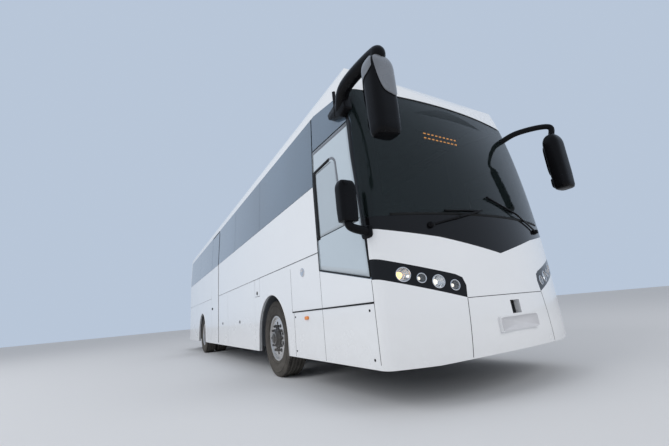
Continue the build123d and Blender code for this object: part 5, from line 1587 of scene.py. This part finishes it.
nose_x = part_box("front_bumper")[1].x
tail_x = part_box("rear_wall")[0].x
for name, plate_shape in (("plate_front", plate(nose_x + plate_gap, 0, 0.567, 1)),
                          ("plate_rear", plate(tail_x - plate_gap, 0, 0.545, -1))):
    piece(name, plate_shape, plate_white, "coach_body")
print("plates", plate_size)

# %% [markdown]
# ## Display and wiper caps
# Behind the head of the screen a destination display shows two rows of plain amber dashes, each a small
# lit pillow. The wiper arms are solids already; each gets a turned cap over its pivot.

# %% Display and wiper caps
display_x = 5.36
display_foot_z, display_head_z = 2.66, 2.86
display_depth = 0.10
dash_rows = (0.32, 0.62)               # heights of the two rows as shares of the case
dash_count, dash_pitch, dash_length = 9, 0.066, 0.038
dash_start_y = -0.06
dash_half_x, dash_half_z = 0.004, 0.007
display_box = pillow_box((display_x - display_depth, -0.10, display_foot_z),
                         (display_x, 0.56, display_head_z), power=12, rows=14, columns=28)
piece("display_case", display_box, black_trim, "coach_body")
lit_dash = emitting("lit_dash", (1.0, 0.42, 0.08), 5.0, (0.5, 0.2, 0.05))
dashes = []
for share in dash_rows:
    z = display_foot_z + (display_head_z - display_foot_z) * share
    for n in range(dash_count):
        y = dash_start_y + dash_pitch * n
        dashes.append(pillow_box((display_x - dash_half_x, y, z - dash_half_z),
                                 (display_x + dash_half_x, y + dash_length, z + dash_half_z), power=6, rows=8,
                                 columns=12))
piece("display_dashes", stack(dashes), lit_dash, "coach_body")

wiper_pivots = ((-0.736, 1.462), (0.930, 1.470))
cap_profile = [(0.0, 0.0), (0.030, 0.0), (0.030, 0.012), (0.024, 0.020), (0.022, 0.040), (0.0, 0.044)]
cap_points, cap_faces = turned(cap_profile, 28, "x")
caps = [(cap_points + on_nose(y, z), cap_faces) for y, z in wiper_pivots]
piece("wiper_caps", stack(caps), black_trim, "coach_body")
print("dashes", len(dashes), "wiper caps", len(caps))

# %% [markdown]
# ## Tail and roof
# The tail carries rubbers round its window and lamps, two round reflectors, a high brake lamp and the grip
# of the engine lid, which rides on the lid. Each roof hatch stands in a rubber frame.

# %% Rubbers of the tail


def tail_frame(y0, y1, z0, z1, radius, width, height):
    """Closed ribbon on the tail round a rectangle with round corners."""
    loop = round_loop(y0, y1, z0, z1, radius)
    return ribbon(on_tail(loop[:, 0], loop[:, 1]), (-1, 0, 0), width, height, closed=True)


def on_tail_axis(profile, y, z, steps=32):
    """Turned fitting whose axis stands square on the tail at y, z: the profile swept, plus that place."""
    points, faces = turned(profile, steps, "x")
    return points * np.array([-1, 1, 1]) + on_tail(y, z), faces


pane_low, pane_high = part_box("rear_window")
lamp_low, lamp_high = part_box("rear_lamps")
lamp_inner_y = 1.015
tail_rubbers = [tail_frame(pane_low.y, pane_high.y, pane_low.z, pane_high.z, 0.035, 0.026, 0.005)]
for side in (-1, 1):
    y0, y1 = sorted((side * lamp_inner_y, side * lamp_high.y))
    tail_rubbers.append(tail_frame(y0, y1, lamp_low.z, lamp_high.z, 0.020, 0.016, 0.008))
piece("tail_rubbers", stack(tail_rubbers), rubber_seal, "coach_body")
print("tail rubbers", len(tail_rubbers))

# %% Reflectors, brake lamp and lid grip
reflector_profile = [(0.0, -0.004), (0.042, -0.004), (0.042, 0.006), (0.038, 0.010), (0.020, 0.012),
                     (0.0, 0.013)]
reflector_y, reflector_z = 0.96, 0.60
brake_lamp_half = 0.16
brake_lamp_foot_z, brake_lamp_head_z = 3.028, 3.058
brake_lamp = pillow_box((pane_low.x + 0.052, -brake_lamp_half, brake_lamp_foot_z),
                        (pane_low.x + 0.092, brake_lamp_half, brake_lamp_head_z), power=5, rows=10,
                        columns=28)
reflectors = [on_tail_axis(reflector_profile, side * reflector_y, reflector_z) for side in (-1, 1)]
piece("tail_reflectors", stack(reflectors + [brake_lamp]), red_lens, "coach_body")

grip_above_foot = 0.075
grip_place = on_tail(0.0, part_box("engine_lid")[0].z + grip_above_foot)
lid_grip = pillow_box(grip_place - (0.026, 0.11, 0.022), grip_place + (0.004, 0.11, 0.022), power=4, rows=12,
                      columns=24)
piece("engine_lid_grip", lid_grip, black_trim, "engine_cover")
print("lid grip at", np.round(grip_place, 3))

# %% Rubbers of the roof hatches
hatch_half = 0.366
hatch_places = (station(-0.700), station(-5.400))
hatch_rubbers = []
for x in hatch_places:
    loop = round_loop(x - hatch_half, x + hatch_half, -hatch_half, hatch_half, 0.030)
    hatch_rubbers.append(ribbon(on_roof(loop[:, 0], loop[:, 1]), (0, 0, 1), 0.022, 0.008, closed=True))
piece("hatch_rubbers", stack(hatch_rubbers), rubber_seal, "coach_body")
print("hatches", len(hatch_rubbers))

# %% [markdown]
# ## Seats
# Each place is a cushion, a back and a head roll: pillows of the size of the solid seat, bent a little
# by moving their points, and covered in cloth. One double seat is made once and copied to every row.
# Pedestals and armrests are boxier pillows in a harder finish.

# %% One seat place
seat_cloth = finish("seat_cloth", (0.055, 0.065, 0.10), 0.85, patch=0.7, patch_scale=40.0,
                    relief=(900.0, 0.0006))
seat_shell = finish("seat_shell", (0.05, 0.05, 0.055), 0.5, patch=0.85, patch_scale=12.0,
                    relief=(700.0, 0.0002))
back_slope = 0.24
lumbar_depth, lumbar_rise = 0.035, 0.7


def lean_back(shape, foot):
    """Tilt a back: x less slope times rise, plus the lumbar depth times the sine of the way up."""
    v, f = shape
    v = v.copy()
    rise = v[:, 2] - foot
    v[:, 0] -= back_slope * rise - lumbar_depth * np.sin(np.clip(rise / lumbar_rise, 0, 1) * np.pi)
    return v, f


def seat_place(y0, y1, cushion_z, back_top):
    """Cushion, back and head roll of one place, at x 0: three pillows, the last two leaned back."""
    cushion = pillow_box((-0.02, y0, cushion_z - 0.13), (0.44, y1, cushion_z + 0.015), power=4.5, rows=12,
                         columns=22)
    back = pillow_box((-0.045, y0, cushion_z), (0.065, y1, back_top - 0.16), power=4.0, rows=14, columns=22)
    head = pillow_box((-0.035, y0 + 0.05, back_top - 0.20), (0.060, y1 - 0.05, back_top), power=3.0, rows=10,
                      columns=18)
    return [cushion, lean_back(back, cushion_z), lean_back(head, cushion_z)]


print("back slope", back_slope)

# %% Passengers' seats
cabin_floor_z = waist_z
cushion_top, back_top = 0.455, 1.15
pair_middle = 0.65
seat_inner, seat_split_low, seat_split_high, seat_outer = 0.215, 0.645, 0.655, 1.085
first_row, row_pitch, row_count = 0.90, 0.79, 12
rows_of_seats = [(station(first_row - row_pitch * row), side) for row in range(row_count) for side in (-1, 1)]
one_pair = stack(seat_place(seat_inner, seat_split_low, cushion_top, back_top)
                 + seat_place(seat_split_high, seat_outer, cushion_top, back_top))
places = [(x, 0.0 if side > 0 else -2 * pair_middle, cabin_floor_z) for x, side in rows_of_seats]
seat_covers = piece("seat_covers", upright_copies(one_pair, places), seat_cloth, "coach_body")
print("double seats", len(places))

# %% Driver's seat
driver_x, driver_y, driver_floor_z = station(1.66), -0.64, 0.95
driver_half = 0.25
driver_parts = stack(seat_place(driver_y - driver_half, driver_y + driver_half, 0.52, 1.24))
driver_shape = upright_copies(driver_parts, [(driver_x, 0, driver_floor_z)])
driver_piece = piece("driver_cover", driver_shape, seat_cloth, "coach_body")
print("driver's seat at", round(driver_x, 3), driver_y)

# %% Pedestals and armrests
leg_half, arm_half = 0.03, 0.006
arm_places = (0.208, 0.650, 1.092)
bases = []
for x, side in rows_of_seats:
    middle = side * pair_middle
    bases.append(pillow_box((x + 0.06, middle - leg_half, cabin_floor_z),
                            (x + 0.34, middle + leg_half, cabin_floor_z + 0.33), power=8, rows=8, columns=16))
    for place in arm_places:
        y = side * place
        bases.append(pillow_box((x - 0.02, y - arm_half, cabin_floor_z + 0.30),
                                (x + 0.40, y + arm_half, cabin_floor_z + 0.64), power=5, rows=8, columns=16))
bases.append(pillow_box((driver_x + 0.02, driver_y - 0.16, driver_floor_z),
                        (driver_x + 0.36, driver_y + 0.16, driver_floor_z + 0.40), power=6, rows=10,
                        columns=20))
piece("seat_bases", stack(bases), seat_shell, "coach_body", ["seat_cushions", "seat_frames"])
print("seat bases and arms", len(bases))
